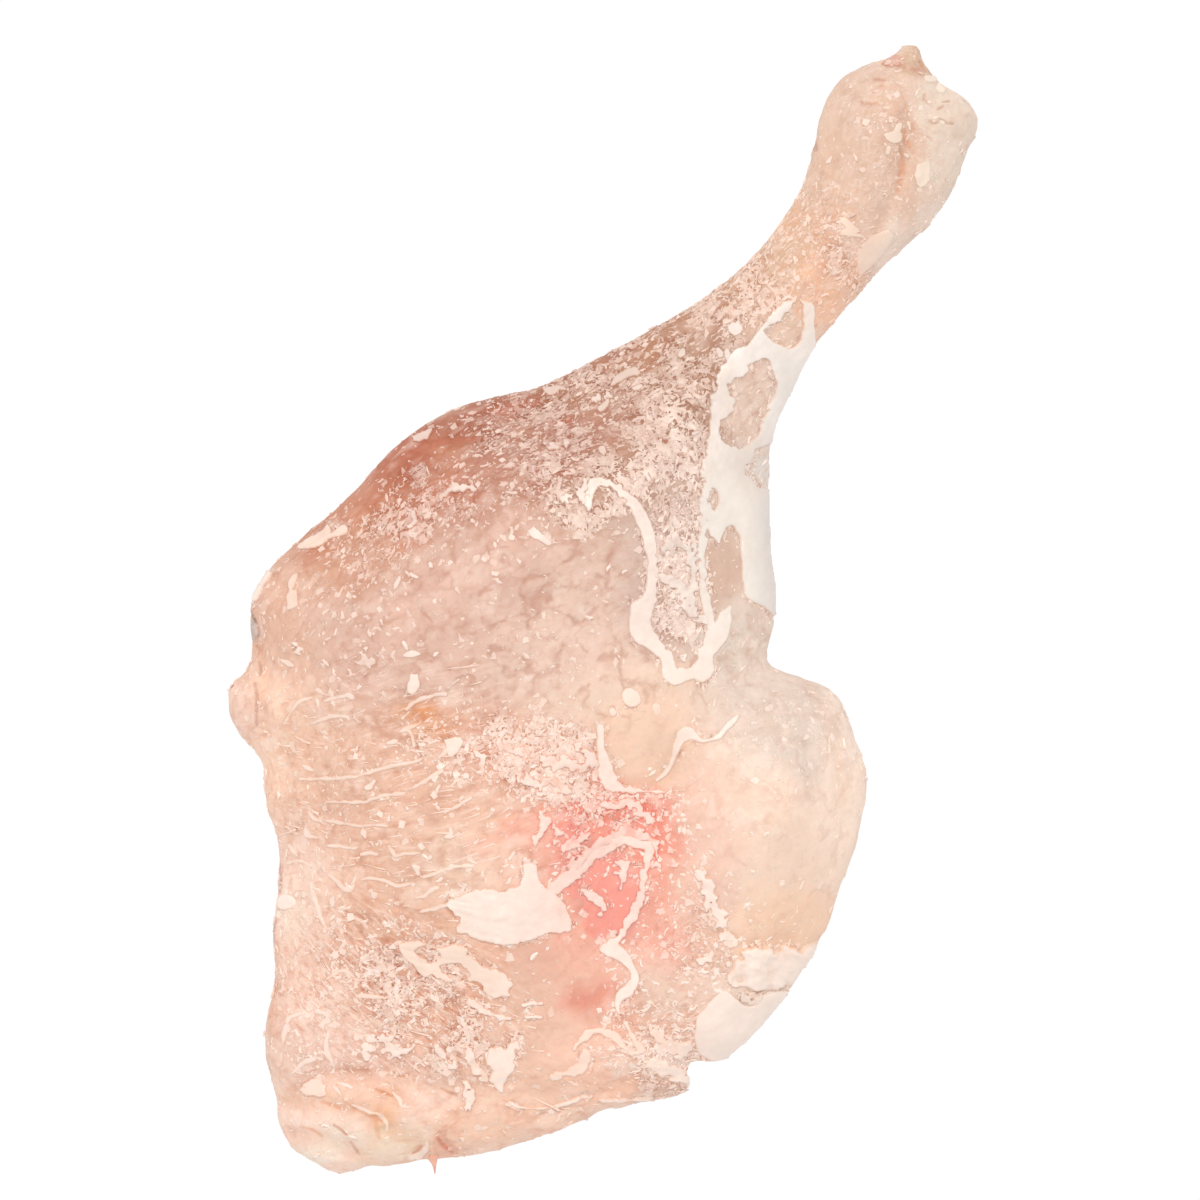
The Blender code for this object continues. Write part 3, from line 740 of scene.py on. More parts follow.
# %% Creases, by where they are
CREASES = {
    # where: rows of depth in mm, colour, and a line of x, y and half width in pixels
    "dome of the knuckle": [
        (0.15, (204, 158, 132), [(860, 102.5, 0.8), (866, 103, 1.3), (871, 104.5, 1)]),
        (0.1, (214, 168, 144), [(874, 103, 1), (878, 105, 1)]),
        (0.15, (202, 150, 118), [(874, 79, 0.8), (879, 80, 1.4), (885, 80, 0.8)]),
        (0.1, (216, 166, 142), [(882, 83, 1.5), (880, 88, 2.2)]),
    ],
    "nub": [
        (0, (214, 152, 130), [(885, 62, 1.5), (890, 60, 3), (897, 59, 4), (900, 62, 3)]),
        (0.3, (198, 136, 112), [(883, 64, 1), (890, 66, 1.4), (899, 65, 1.4)]),
        (0.25, (210, 154, 130), [(899, 65, 1.2), (905, 67, 1.2), (912, 70, 1.4), (920, 70, 1)]),
        (0.3, (200, 148, 122), [(920, 62, 1.4), (922, 67, 1.8), (925, 71, 1.2)]),
        (0.1, (200, 146, 116), [(929, 72, 1), (934, 75, 1.6), (941, 80, 1)]),
    ],
    "pad of the knuckle": [
        (0.2, (200, 162, 134), [(943, 102.5, 0.8), (949, 101, 0.9)]),
        (0.2, (206, 168, 142), [(938, 109, 0.8), (943, 106.5, 1)]),
        (0.2, (206, 170, 146), [(940, 119, 0.8), (944, 121, 1), (947, 123, 1.1), (953, 124, 0.8)]),
        (0.15, (208, 168, 142), [(930, 121, 1), (934, 123.5, 1), (938, 122, 0.8)]),
        (0.15, (212, 174, 148), [(923, 136.5, 0.8), (928, 138, 1.2), (932, 140.5, 0.8)]),
        (0.15, (212, 170, 146), [(925, 94, 1), (924, 99, 1), (928, 103, 1)]),
    ],
    "middle of the knuckle": [
        (0.1, (217, 163, 130), [(904, 131, 2), (905, 138, 2.6), (908, 145, 2.6), (909, 150, 1.5)]),
        (0.1, (214, 164, 136), [(913, 124, 1), (914, 130, 1), (911, 133, 1)]),
        (0.1, (217, 164, 136), [
            (900, 146, 1.5), (901, 156, 2), (902, 166, 3), (901, 178, 3), (898, 190, 2),
        ]),
        # This row is painted shade along the knuckle's left edge.
        (0.2, (196, 152, 134), [(819, 112, 1), (816, 126, 1.6), (814, 138, 2.2), (816, 150, 1.5)]),
    ],
    "shin": [
        (0.15, (186, 116, 92), [
            (404, 458, 1.5), (420, 448, 3.2), (440, 443, 2.6), (460, 441, 1.8), (500, 437, 1),
        ]),
        (0.1, (188, 118, 94), [(377, 469, 1.6), (392, 467, 2.2), (405, 461, 1.6)]),
        (0.15, (188, 120, 98), [(491, 411, 3), (505, 410, 6), (524, 406, 5), (540, 402, 3)]),
        (0.15, (196, 126, 98), [(556, 421, 1), (566, 421, 1.6), (574, 420, 1)]),
        (0.1, (178, 102, 74), [(591, 465, 2.4), (595, 466, 2.4)]),
        (0.1, (188, 116, 88), [(455, 465, 1.8), (457, 471, 1.6)]),
        (0.1, (192, 104, 74), [(431, 507, 2), (434, 507, 1.6)]),
        (0.1, (184, 108, 82), [(494, 471, 1.6), (497, 472, 1.8)]),
        (0.1, (190, 120, 94), [(473, 497, 1.2), (474, 502, 1.2)]),
        (0.12, (196, 132, 104), [(640, 432, 0.8), (650, 436, 1.4), (662, 439, 1.2), (666, 442, 1.4)]),
    ],
    "knee": [
        # The first three rows are painted shade: grey and dark gaps beside the knee.
        (0.1, (196, 184, 176), [(252, 620, 1.5), (253, 628, 3), (253, 637, 4)]),
        (0.2, (150, 112, 96), [(252, 615, 1), (256, 622, 1), (259, 631, 1.2), (258, 637, 0.8)]),
        (0.15, (196, 158, 140), [(259, 662, 1), (261, 668, 1.6), (260, 675, 1)]),
        (0.15, (206, 160, 138), [(255, 684, 1.4), (257, 700, 1.8), (256, 716, 1.4), (257, 726, 0.8)]),
    ],
    "left rim": [
        # Painted shade: a darker line along the thigh's left rim.
        (0, (198, 146, 128), [(280, 866, 0.9), (281, 880, 1.2), (280, 892, 1)]),
        (0, (206, 162, 148), [(276, 920, 0.8), (274, 928, 1.2), (274, 946, 1)]),
    ],
    "orange tint": [
        (0.1, (214, 160, 126), [(444, 741, 1.5), (448, 738, 1.6), (450, 737, 1)]),
        (0.1, (220, 164, 132), [(416, 745, 1), (426, 749, 1.4), (436, 750, 1)]),
    ],
    "streaky band": [
        (0.15, (206, 140, 106), [(383, 939, 1.6), (387, 941, 2.2)]),
        (0.15, (214, 160, 136), [(383, 961, 1.2), (392, 965, 2), (401, 969, 1.2)]),
        (0.2, (203, 144, 118), [(418, 973, 1), (425, 978, 1.6), (432, 982, 1.4)]),
        (0.12, (212, 162, 136), [(340, 905, 1), (350, 914, 1.6), (362, 918, 1.2)]),
        (0.12, (210, 160, 134), [(354, 925, 1), (364, 936, 1.8), (372, 944, 1.2)]),
        (0.12, (208, 158, 132), [(392, 955, 1), (402, 962, 1.8), (408, 968, 1.2)]),
        (0.15, (208, 134, 98), [(448, 1029, 1.8), (453, 1030, 2.4)]),
        (0.12, (208, 140, 108), [(450, 996, 2), (457, 998, 2.4)]),
        (0.12, (204, 152, 126), [(395, 1046, 1.6), (398, 1049, 2), (404, 1047, 1.5)]),
        (0.12, (206, 154, 126), [(411, 1031, 1.4), (418, 1036, 2), (424, 1030, 1.2)]),
    ],
    "slab": [
        (0.1, (214, 162, 138), [(447, 909, 1.2), (452, 913, 1.8), (456, 919, 1)]),
        (0.1, (224, 176, 150), [(402, 908, 4), (408, 914, 6), (436, 918, 5), (446, 922, 3)]),
        (0.1, (206, 158, 136), [(448, 900, 0.8), (458, 901, 1), (470, 902, 0.8)]),
    ],
    "tail": [
        (0.15, (221, 146, 106), [(321, 1102, 0.9), (332, 1105, 1.4), (343, 1110, 1)]),
        (0.1, (228, 168, 134), [(352, 1108, 0.9), (362, 1112, 1.2), (372, 1117, 1.3), (383, 1121, 0.9)]),
        (0.1, (240, 184, 146), [(375, 1119, 1.4), (377, 1128, 2.4), (379, 1138, 1.4)]),
        (0.1, (212, 146, 104), [(376, 1089, 0.8), (386, 1093.5, 1.3), (393, 1096, 0.8)]),
        (0.1, (228, 174, 144), [(300, 1127, 0.8), (312, 1130, 1.2), (322, 1136, 1)]),
        (0.1, (220, 162, 130), [(334, 1125, 1), (340, 1129, 1.2), (346, 1134, 1.3)]),
        (0.1, (214, 160, 130), [(351, 1142, 0.9), (355, 1148, 1.1), (359, 1154, 0.9)]),
        (0.15, (212, 138, 98), [(394, 1072, 0.8), (400, 1076, 1.2), (408, 1075, 1)]),
        (0.08, (218, 164, 136), [(441, 1088, 0.9), (448, 1092, 1.4), (457, 1095, 1)]),
        (0.12, (222, 176, 152), [(335, 1070, 0.8), (350, 1071, 1), (368, 1070, 0.8)]),
    ],
    "raw meat": [
        (0, (249, 162, 147), [
            (564, 892, 5), (584, 884, 14), (608, 874, 24), (612, 900, 28), (598, 924, 15),
        ]),
        (0.05, (234, 180, 156), [(446, 1126, 1.5), (441, 1136, 5), (442, 1148, 9), (450, 1152, 8)]),
        (0.05, (222, 140, 116), [(438, 1138, 1.4), (443, 1145, 2), (452, 1152, 1.4)]),
        (0.1, (222, 158, 132), [(413, 1153, 0.9), (419, 1149, 1.3), (421, 1146, 0.9)]),
    ],
}
creases = all_rows(CREASES)

# %% The height that folds, creases and wrinkles give
CREASE_BLUR = 1.2
# Each of these is a height in millimetres, and a size.
SWELLS = (0.10, 4.0 * MM)
PORES = (0.05, 1.3 * MM)
FLANK_DENTS = (0.13, 4.6 * MM)


def crease_share(places, line):
    """1 in a crease and 0 beside it."""
    return smooth_step(inside_ribbon(places, line), -CREASE_BLUR, 0.6)


def fold_share(places, line, half_width):
    """1 along the bottom of a fold, falling to 0 beside it."""
    spine = [(x, y, 0.0) for x, y in line]
    away = -inside_ribbon(places, spine) * PIXEL / MM / half_width
    return np.exp(-(away**2))


def skin_relief(points, places, up):
    """Height in metres that folds, wrinkles and pores add along the normal."""
    height = SWELLS[0] * rough_noise(points, SWELLS[1], 11) + PORES[0] * soft_noise(points, PORES[1], 12)
    dents = 1.0 - 2.0 * np.abs(soft_noise(points, FLANK_DENTS[1], 13))
    height += FLANK_DENTS[0] * dents * smooth_step(1.0 - up, 0.35, 0.8)
    for line, half_width, depth in FOLDS.values():
        height -= depth * fold_share(places, line, half_width)
    for depth, _, line in creases:
        height -= depth * crease_share(places, line)
    for number, sizes in enumerate(WRINKLED_AREAS.values()):
        share = oval_share(places, *sizes[:5])
        wave = soft_noise(stretched(points, sizes[4], sizes[6], sizes[7]), 1.0, 20 + number)
        height += sizes[5] * share * (1.0 - 2.0 * np.abs(wave))
    return height * MM


# %% Finer faces round the creases, then the relief
CUTS = 2
FINE_REACH = 3.0
FLANK = 0.25


def finer_round_creases(mesh):
    """Cuts the faces that look up and lie round a crease in three each way."""
    places = photo_places(rows_of(mesh.vertices, "co"))
    close = np.full(len(places), -FAR)
    for _, _, line in creases:
        close = np.maximum(close, inside_ribbon(places, line))
    looks_up = rows_of(mesh.vertex_normals, "vector")[:, 2] > FLANK
    chosen = (close > -FINE_REACH) & looks_up
    bm = bmesh.new()
    bm.from_mesh(mesh)
    edges = [edge for edge in bm.edges if chosen[edge.verts[0].index] or chosen[edge.verts[1].index]]
    bmesh.ops.subdivide_edges(bm, edges=edges, cuts=CUTS, use_grid_fill=True)
    bmesh.ops.triangulate(bm, faces=[face for face in bm.faces if len(face.verts) > 4])
    bm.to_mesh(mesh)
    bm.free()


finer_round_creases(skin_mesh)
skin_points = rows_of(skin_mesh.vertices, "co")
skin_normals = rows_of(skin_mesh.vertex_normals, "vector")
skin_places = photo_places(skin_points)
skin_up = skin_normals[:, 2]
skin_points = skin_points + skin_normals * skin_relief(skin_points, skin_places, skin_up)[:, None]
skin_points[:, 2] = np.maximum(skin_points[:, 2], leg_low.z)
skin_mesh.vertices.foreach_set("co", skin_points.astype(np.float32).ravel())
skin_mesh.update()
skin_mesh.shade_smooth()
print(len(FOLDS), "folds and", len(creases), "creases,", triangles_of(skin_mesh), "triangles")

# %% [markdown]
# ## The skin's colour
# Frozen skin shows what lies under it: yellow fat is cream, thin skin over meat is brown or grey,
# and bare meat is pink. A single noise can't place these, so the tint is painted as named patches
# with soft, wandering rims, each over the one before. A few patches, folds and creases carry painted
# shade as well, where the skin lies in a fold or a gap or turns away at its rim. The tint is kept in
# a colour attribute on the vertices. Colours are written the way a paint picker shows them and are
# made linear for the shader.

# %% Patches of tint
BASE_TINT = (234, 208, 191)
TINT_PATCHES = {
    # name: (middle x, y, radii x, y in pixels, turn in degrees, softness, colour, strength)
    "thigh": (400, 860, 200, 260, 0, 0.5, (235, 187, 160), 1),
    "thigh left": (310, 720, 60, 120, 0, 0.6, (255, 211, 182), 1),
    "calf belly": (450, 600, 180, 120, 32, 0.5, (219, 181, 163), 1),
    "calf right": (610, 640, 120, 80, 20, 0.5, (233, 200, 182), 1),
    "grey calf": (640, 410, 130, 90, 42, 0.5, (184, 142, 118), 1),
    "calf by the film": (670, 560, 50, 110, 0, 0.5, (213, 184, 170), 0.8),
    "under the shin": (500, 462, 130, 44, 22, 0.5, (186, 128, 106), 0.9),
    "low shin": (345, 520, 70, 60, 45, 0.5, (204, 142, 107), 0.9),
    "shin stripe": (560, 384, 220, 26, 27, 0.6, (178, 119, 91), 0.9),
    "shin corner": (470, 424, 70, 18, 20, 0.7, (172, 104, 79), 0.9),
    "shin corner below": (396, 462, 44, 20, 42, 0.7, (176, 92, 64), 0.8),
    "shin spot": (650, 348, 40, 12, 28, 0.8, (186, 136, 107), 0.8),
    # The shin's rim is thin brown skin over meat, darkened further with painted shade where the flank turns
    # away.
    "shin rim": (322, 522, 84, 22, 42, 0.6, (200, 138, 112), 0.9),
    "calf rosy top": (420, 500, 60, 28, 35, 0.8, (205, 130, 100), 0.7),
    "knee left": (276, 610, 30, 60, 10, 0.6, (223, 177, 153), 0.9),
    "shank": (795, 235, 80, 70, 40, 0.5, (227, 184, 154), 1),
    "shank orange": (834, 290, 46, 36, 50, 0.6, (247, 195, 163), 0.9),
    "shank top": (745, 285, 60, 24, 35, 0.6, (214, 173, 143), 0.7),
    "knuckle dome": (866, 130, 62, 80, 10, 0.5, (219, 185, 163), 1),
    # Painted shade: the knuckle shade and knuckle left patches darken the knuckle's left edge, where it
    # turns from the light.
    "knuckle shade": (822, 168, 16, 44, -12, 0.7, (224, 182, 156), 0.8),
    "knuckle pad": (948, 140, 30, 80, 18, 0.25, (228, 207, 189), 1),
    "pad low": (901, 231, 54, 15, 45, 0.25, (239, 216, 200), 0.9),
    "knuckle left": (822, 124, 26, 60, -15, 0.7, (224, 189, 165), 0.8),
    "brown streak": (897, 150, 11, 74, 8, 0.8, (225, 189, 166), 0.9),
    "brown streak low": (866, 262, 14, 46, 28, 0.8, (237, 201, 182), 0.8),
    "nub": (908, 58, 18, 14, 0, 0.6, (207, 168, 138), 0.9),
    "grey edge gap": (762, 462, 22, 30, 12, 0.4, (224, 212, 203), 1),
    "bay": (724, 578, 18, 50, -4, 0.4, (214, 181, 161), 1),
    "below the cup": (640, 700, 90, 40, 12, 0.5, (234, 204, 183), 1),
    "knee right": (740, 650, 40, 46, 0, 0.6, (227, 210, 195), 0.9),
    "orange tint": (424, 718, 30, 15, -14, 0.8, (226, 145, 79), 0.9),
    "thigh grey": (400, 800, 150, 70, 8, 0.6, (231, 187, 163), 0.8),
    "thigh middle": (520, 860, 90, 50, 10, 0.6, (243, 213, 192), 0.8),
    "left low": (310, 960, 50, 120, 4, 0.5, (253, 219, 201), 0.8),
    "streaky band": (420, 990, 120, 52, -24, 0.6, (235, 185, 160), 0.8),
    "thigh low": (350, 1060, 90, 40, -6, 0.6, (241, 204, 187), 0.8),
    "smooth tan": (556, 1006, 60, 96, 0, 0.4, (233, 191, 169), 0.9),
    "tan low": (560, 1088, 90, 26, 8, 0.5, (245, 201, 176), 0.8),
    "pink veil": (630, 860, 110, 96, 30, 0.7, (245, 162, 141), 0.8),
    "under the white crumbs": (545, 765, 76, 30, -18, 0.7, (238, 176, 150), 0.8),
    "raw red": (588, 818, 44, 24, 20, 0.8, (255, 165, 148), 0.95),
    "raw red left": (566, 846, 15, 24, -20, 0.8, (242, 145, 130), 0.8),
    "raw red right": (656, 828, 26, 44, 10, 0.8, (245, 132, 113), 0.9),
    "fat bulge": (650, 742, 50, 48, 30, 0.3, (243, 207, 183), 1),
    "red by the slab": (672, 902, 30, 60, 10, 0.8, (241, 174, 153), 0.75),
    "raw patch": (606, 894, 34, 50, 40, 0.25, (225, 152, 138), 1),
    "red spot": (596, 1006, 30, 20, 10, 0.9, (225, 137, 116), 0.9),
    "peach low": (640, 1050, 70, 50, 10, 0.6, (254, 204, 181), 0.8),
    "tail fold": (344, 1130, 90, 44, 12, 0.5, (255, 219, 200), 1),
    "tail right": (500, 1130, 100, 30, 10, 0.5, (249, 206, 181), 0.9),
    "tail orange": (386, 1120, 16, 22, 0, 0.8, (252, 195, 152), 0.8),
    "lobe": (784, 840, 100, 150, 8, 0.4, (242, 212, 191), 1),
    "lobe top": (794, 722, 78, 56, -14, 0.5, (221, 202, 188), 1),
    "lobe right": (846, 780, 30, 90, -8, 0.7, (251, 226, 207), 0.8),
    "lobe left": (712, 860, 26, 90, 4, 0.8, (235, 197, 178), 0.8),
    "lobe low": (790, 930, 70, 36, 10, 0.6, (245, 206, 178), 0.9),
    "corner below": (715, 960, 30, 26, 0, 0.7, (247, 213, 193), 0.7),
    "tail peach": (362, 1096, 44, 16, 12, 0.7, (240, 198, 172), 0.8),
    "tail pale rim": (316, 1148, 44, 12, 24, 0.6, (255, 234, 216), 0.9),
    "tail middle": (392, 1142, 34, 16, 14, 0.7, (255, 231, 206), 0.7),
    "low right pale": (662, 1064, 40, 18, 0, 0.7, (255, 230, 214), 0.9),
    "low right orange": (616, 1082, 24, 9, 0, 0.7, (249, 196, 168), 0.7),
    "below the corner": (662, 992, 30, 30, 0, 0.7, (230, 197, 177), 0.7),
    "long bare patch": (750, 402, 26, 50, 10, 0.3, (230, 202, 184), 1),
    "three-cornered bare patch": (786, 326, 18, 22, 30, 0.3, (239, 206, 183), 0.9),
    "left rim low": (277, 985, 12, 62, 0, 0.6, (236, 188, 164), 1),
    "left pale": (300, 916, 20, 26, 0, 0.7, (255, 227, 207), 0.8),
    "left fat line": (272, 745, 16, 74, 0, 0.7, (255, 217, 193), 0.8),
    "warm by the raw red": (510, 833, 28, 15, 15, 0.7, (241, 168, 144), 0.6),
    "low shin inner": (358, 556, 34, 22, 40, 0.6, (213, 163, 140), 0.8),
    "tag": (242, 710, 20, 40, 4, 0.5, (241, 203, 183), 1),
}
ICE_TINT = (238, 224, 213)
# On a flank steeper than this the film has ended, and the skin itself takes the ice's tint.
ICE_ENDS_AT = 0.6
# FOLD_SHADE and FOLD_DEEP are painted shade in the folds: darker and warmer by each fold's depth.
FOLD_SHADE = 0.75
CREASE_SHADE = 0.8
FOLD_DEEP = (0.78, 0.62, 0.50)
TINT_WANDER = 9.0
TINT_WANDER_SIZE = 34.0


def linear(colour):
    """A picker's red, green and blue, 0 to 255, as the shader's linear light."""
    value = np.array(colour, float) / 255.0
    return np.where(value <= 0.04045, value / 12.92, ((value + 0.055) / 1.055) ** 2.4)


def wandering(places, reach, size, seed):
    """Places pushed about by smooth noise, so that what is drawn on them gets uneven rims."""
    push = [rough_noise(places, size, seed), rough_noise(places, size, seed + 7)]
    return places + reach * np.column_stack(push)


def painted(places, base, patches):
    """The linear colour at each place: the base, with each patch laid over those before it."""
    tint = np.tile(linear(base), (len(places), 1))
    for *oval, softness, colour, strength in patches.values():
        share = strength * oval_share(places, *oval, softness)[:, None]
        tint += share * (linear(colour) - tint)
    return tint


def skin_tint(places):
    """The linear colour of the bare skin at each place in the photograph."""
    return painted(wandering(places, TINT_WANDER, TINT_WANDER_SIZE, 31), BASE_TINT, TINT_PATCHES)


def creased(tint, places):
    """The tint with painted shade, darker and warmer, in every fold, and every crease in its own colour."""
    for line, half_width, depth in FOLDS.values():
        share = FOLD_SHADE * max(depth, 0.0) * fold_share(places, line, half_width)[:, None]
        tint = tint * (1.0 - share * (1.0 - np.array(FOLD_DEEP)))
    for _, colour, line in creases:
        tint = tint + CREASE_SHADE * crease_share(places, line)[:, None] * (linear(colour) - tint)
    return tint


# %% [markdown]
# Frost and texture differ from place to place as well, and they are painted in the same way: soft
# ovals, kept in an attribute for each kind. One gives the share of skin that fine flecks cover. The
# others say where pale streaks, dark threads and blotches show, where the skin is smooth over fat
# or stippled, where frost is bright, and where plates, heaps of crumbs and needles lie.

# %% Patches of frost
FROST_SPREAD = 0.06
EDGE_CRUMBS = 0.42
EDGE_REACH = 5.0
EDGE_BREAKS = 12.0
COVER_UNEVEN = 0.5
COVER_UNEVEN_SIZE = 26.0
FROST_PATCHES = {
    # name: (middle x, y, radii x, y in pixels, turn in degrees, softness, share covered by flecks)
    "calf": (470, 610, 170, 110, 30, 0.5, 0.06),
    "grey calf": (640, 400, 140, 90, 42, 0.5, 0.42),
    "long bare patch": (750, 402, 20, 42, 10, 0.4, 0.16),
    "three-cornered bare patch": (786, 326, 18, 20, 30, 0.4, 0.14),
    "along the shin": (520, 430, 190, 34, 26, 0.6, 0.26),
    "shin fleck band": (430, 505, 110, 34, 34, 0.7, 0.36),
    "brown of the shin": (480, 468, 56, 22, 24, 0.7, 0.18),
    "smooth shin rim": (334, 520, 96, 20, 43, 0.4, 0.03),
    "smooth upper rim": (420, 455, 50, 10, 24, 0.5, 0.05),
    "by the arm": (598, 500, 34, 26, 20, 0.6, 0.5),
    "low shin": (330, 560, 50, 60, 40, 0.7, 0.2),
    "inside the cup": (676, 570, 24, 84, 0, 0.4, 0.5),
    "left of the strip": (680, 470, 34, 60, 10, 0.6, 0.4),
    "shank": (800, 250, 80, 60, 40, 0.5, 0.26),
    "top of the shank": (730, 310, 60, 30, 36, 0.6, 0.42),
    "shank orange": (846, 262, 16, 40, 28, 0.6, 0.34),
    "knuckle": (890, 130, 80, 90, 10, 0.5, 0.06),
    "knuckle streak": (898, 160, 20, 90, 8, 0.8, 0.17),
    "thigh": (400, 820, 150, 110, 8, 0.6, 0.07),
    "white crumbs": (560, 765, 90, 38, -22, 0.7, 0.64),
    "crumbs left": (480, 745, 60, 30, -10, 0.8, 0.4),
    "round the raw red": (640, 850, 70, 70, 30, 0.8, 0.35),
    "right of the raw patch": (670, 900, 40, 80, 10, 0.8, 0.17),
    "raw red right": (658, 842, 18, 36, 10, 0.6, 0.14),
    "below the knee": (660, 690, 70, 36, 10, 0.6, 0.04),
    "fat bulge": (648, 745, 44, 40, 30, 0.25, 0),
    "streaky band": (410, 980, 110, 50, -26, 0.6, 0.31),
    "by the cut edge": (462, 1058, 30, 28, 0, 0.6, 0.46),
    "above the tail roll": (384, 1048, 42, 20, 8, 0.5, 0.48),
    "notch by the clump": (750, 998, 12, 14, 0, 0.6, 0.5),
    "along the lobe": (714, 908, 18, 46, -10, 0.7, 0.3),
    "left of the clump": (712, 966, 22, 26, 0, 0.7, 0.28),
    "thigh low": (360, 1050, 90, 40, -10, 0.7, 0.24),
    "raw patch": (606, 894, 28, 44, 40, 0.25, 0.02),
    "smooth tan": (556, 1002, 50, 70, 0, 0.25, 0.02),
    "low right": (660, 1050, 50, 50, 0, 0.7, 0.4),
    "tail end": (350, 1130, 90, 40, 10, 0.6, 0.08),
    "lobe": (784, 830, 90, 140, 8, 0.4, 0.04),
    "lobe top": (790, 720, 66, 46, -14, 0.6, 0.14),
}


def frost_cover(places, iced):
    """The share of the skin that fine flecks cover at each place, with more along the ice's edges."""
    moved = wandering(places, TINT_WANDER, TINT_WANDER_SIZE, 47)
    cover = np.full(len(places), FROST_SPREAD)
    for *oval, softness, share in FROST_PATCHES.values():
        cover += oval_share(moved, *oval, softness) * (share - cover)
    broken = soft_noise(places, EDGE_BREAKS, 57) > 0.1
    cover = np.maximum(cover, EDGE_CRUMBS * np.exp(-((iced / EDGE_REACH) ** 2)) * broken)
    uneven = 1.0 + COVER_UNEVEN * rough_noise(places, COVER_UNEVEN_SIZE, 53)
    return np.clip(cover * uneven, 0.0, 1.0)


# %% Patches where each texture and each kind of loose frost shows
AREAS = {
    # what shows: rows of middle x, y, radii x, y, turn, softness, strength
    "streaks": [(390, 780, 150, 120, 8, 0.5, 1), (300, 900, 40, 90, 0, 0.6, 0.5)],
    "low_streaks": [(390, 990, 130, 80, -24, 0.5, 1)],
    "threads": [
        (480, 600, 170, 110, 32, 0.4, 1), (640, 660, 110, 60, 20, 0.6, 0.85),
        (400, 830, 150, 110, 8, 0.6, 0.4), (780, 820, 90, 140, 8, 0.5, 0.35),
    ],
    "plates": [
        (450, 590, 200, 120, 32, 0.5, 0.5), (700, 330, 90, 60, 40, 0.6, 1),
        (320, 560, 60, 60, 40, 0.6, 1), (690, 440, 40, 120, 8, 0.6, 0.8),
        (400, 830, 140, 120, 0, 0.6, 0.4), (905, 165, 30, 90, 8, 0.6, 0.4),
    ],
    "heaps": [
        (775, 965, 48, 26, -20, 0.3, 1), (678, 560, 26, 80, 0, 0.4, 0.8),
        (560, 762, 90, 34, -22, 0.7, 0.6), (640, 850, 60, 60, 30, 0.8, 0.28),
        (400, 985, 90, 36, -28, 0.7, 0.1), (690, 470, 24, 60, 10, 0.6, 0.25),
        (420, 505, 80, 26, 34, 0.7, 0.25), (660, 1046, 36, 30, 0, 0.6, 0.6),
        (740, 880, 20, 60, 20, 0.8, 0.15),
    ],
    "smooth_fat": [
        (784, 840, 96, 140, 8, 0.4, 1), (648, 742, 54, 50, 30, 0.3, 1), (606, 894, 34, 50, 40, 0.25, 1),
        (640, 700, 90, 34, 12, 0.5, 0.9), (556, 1006, 56, 90, 0, 0.4, 0.6),
        (344, 1130, 90, 44, 12, 0.5, 0.5), (724, 578, 20, 56, -4, 0.3, 1),
        (885, 140, 84, 110, 10, 0.5, 0.9), (820, 250, 90, 60, 45, 0.5, 0.7),
    ],
    "blotches": [
        (745, 790, 60, 64, 0, 0.7, 1), (800, 730, 60, 44, -14, 0.7, 0.8),
        (740, 660, 34, 30, 0, 0.7, 0.6), (700, 1040, 60, 50, 0, 0.6, 0.5),
        (870, 130, 60, 80, 10, 0.6, 0.4), (800, 250, 70, 60, 40, 0.6, 0.9),
        (320, 1140, 70, 36, 12, 0.6, 0.6),
    ],
    "bright_frost": [
        (480, 900, 260, 210, 0, 0.4, 1), (680, 570, 40, 100, 0, 0.5, 1),
        (690, 450, 24, 60, 10, 0.6, 0.7), (640, 500, 50, 40, 30, 0.6, 0.7),
        (700, 1000, 140, 90, 0, 0.5, 1), (660, 820, 60, 80, 0, 0.5, 0.9),
    ],
    "stipple": [
        (900, 140, 44, 90, 12, 0.7, 0.7), (872, 98, 40, 22, 0, 0.7, 0.5),
        (820, 240, 90, 56, 45, 0.5, 0.8), (740, 300, 60, 30, 36, 0.6, 0.6),
        (640, 1050, 60, 40, 0, 0.6, 0.6), (300, 1000, 40, 80, 0, 0.6, 0.4),
    ],
    "needles": [
        (390, 790, 150, 110, 8, 0.4, 1), (410, 975, 130, 60, -24, 0.5, 0.9),
        (300, 1000, 30, 70, 0, 0.6, 0.4), (560, 1100, 90, 16, 8, 0.6, 0.2),
        (820, 250, 50, 60, 40, 0.6, 0.25),
    ],
}


def area_share(places, name):
    """How strongly a feature shows at each place, from 0 to 1."""
    moved = wandering(places, TINT_WANDER, TINT_WANDER_SIZE, 61)
    shares = [row[6] * oval_share(moved, *row[:6]) for row in AREAS[name]]
    return np.max(shares, axis=0)


# %% Paint the skin's vertices
UPPER_GRAIN = math.radians(14.0)
LOWER_GRAIN = math.radians(-28.0)
GRAIN_TURNS_AT = (880.0, 950.0)
GRAIN_WANDER = math.radians(26.0)
GRAIN_WANDER_SIZE = 24.0


def put(mesh, name, kind, values):
    """Numbers, directions or colours kept on the vertices under a name, for a finish to read."""
    field = {"FLOAT": "value", "FLOAT_VECTOR": "vector", "FLOAT_COLOR": "color"}[kind]
    if kind == "FLOAT_COLOR":
        values = np.column_stack([values, np.ones(len(values))])
    attribute = mesh.attributes.new(name, kind, "POINT")
    attribute.data.foreach_set(field, values.astype(np.float32).ravel())


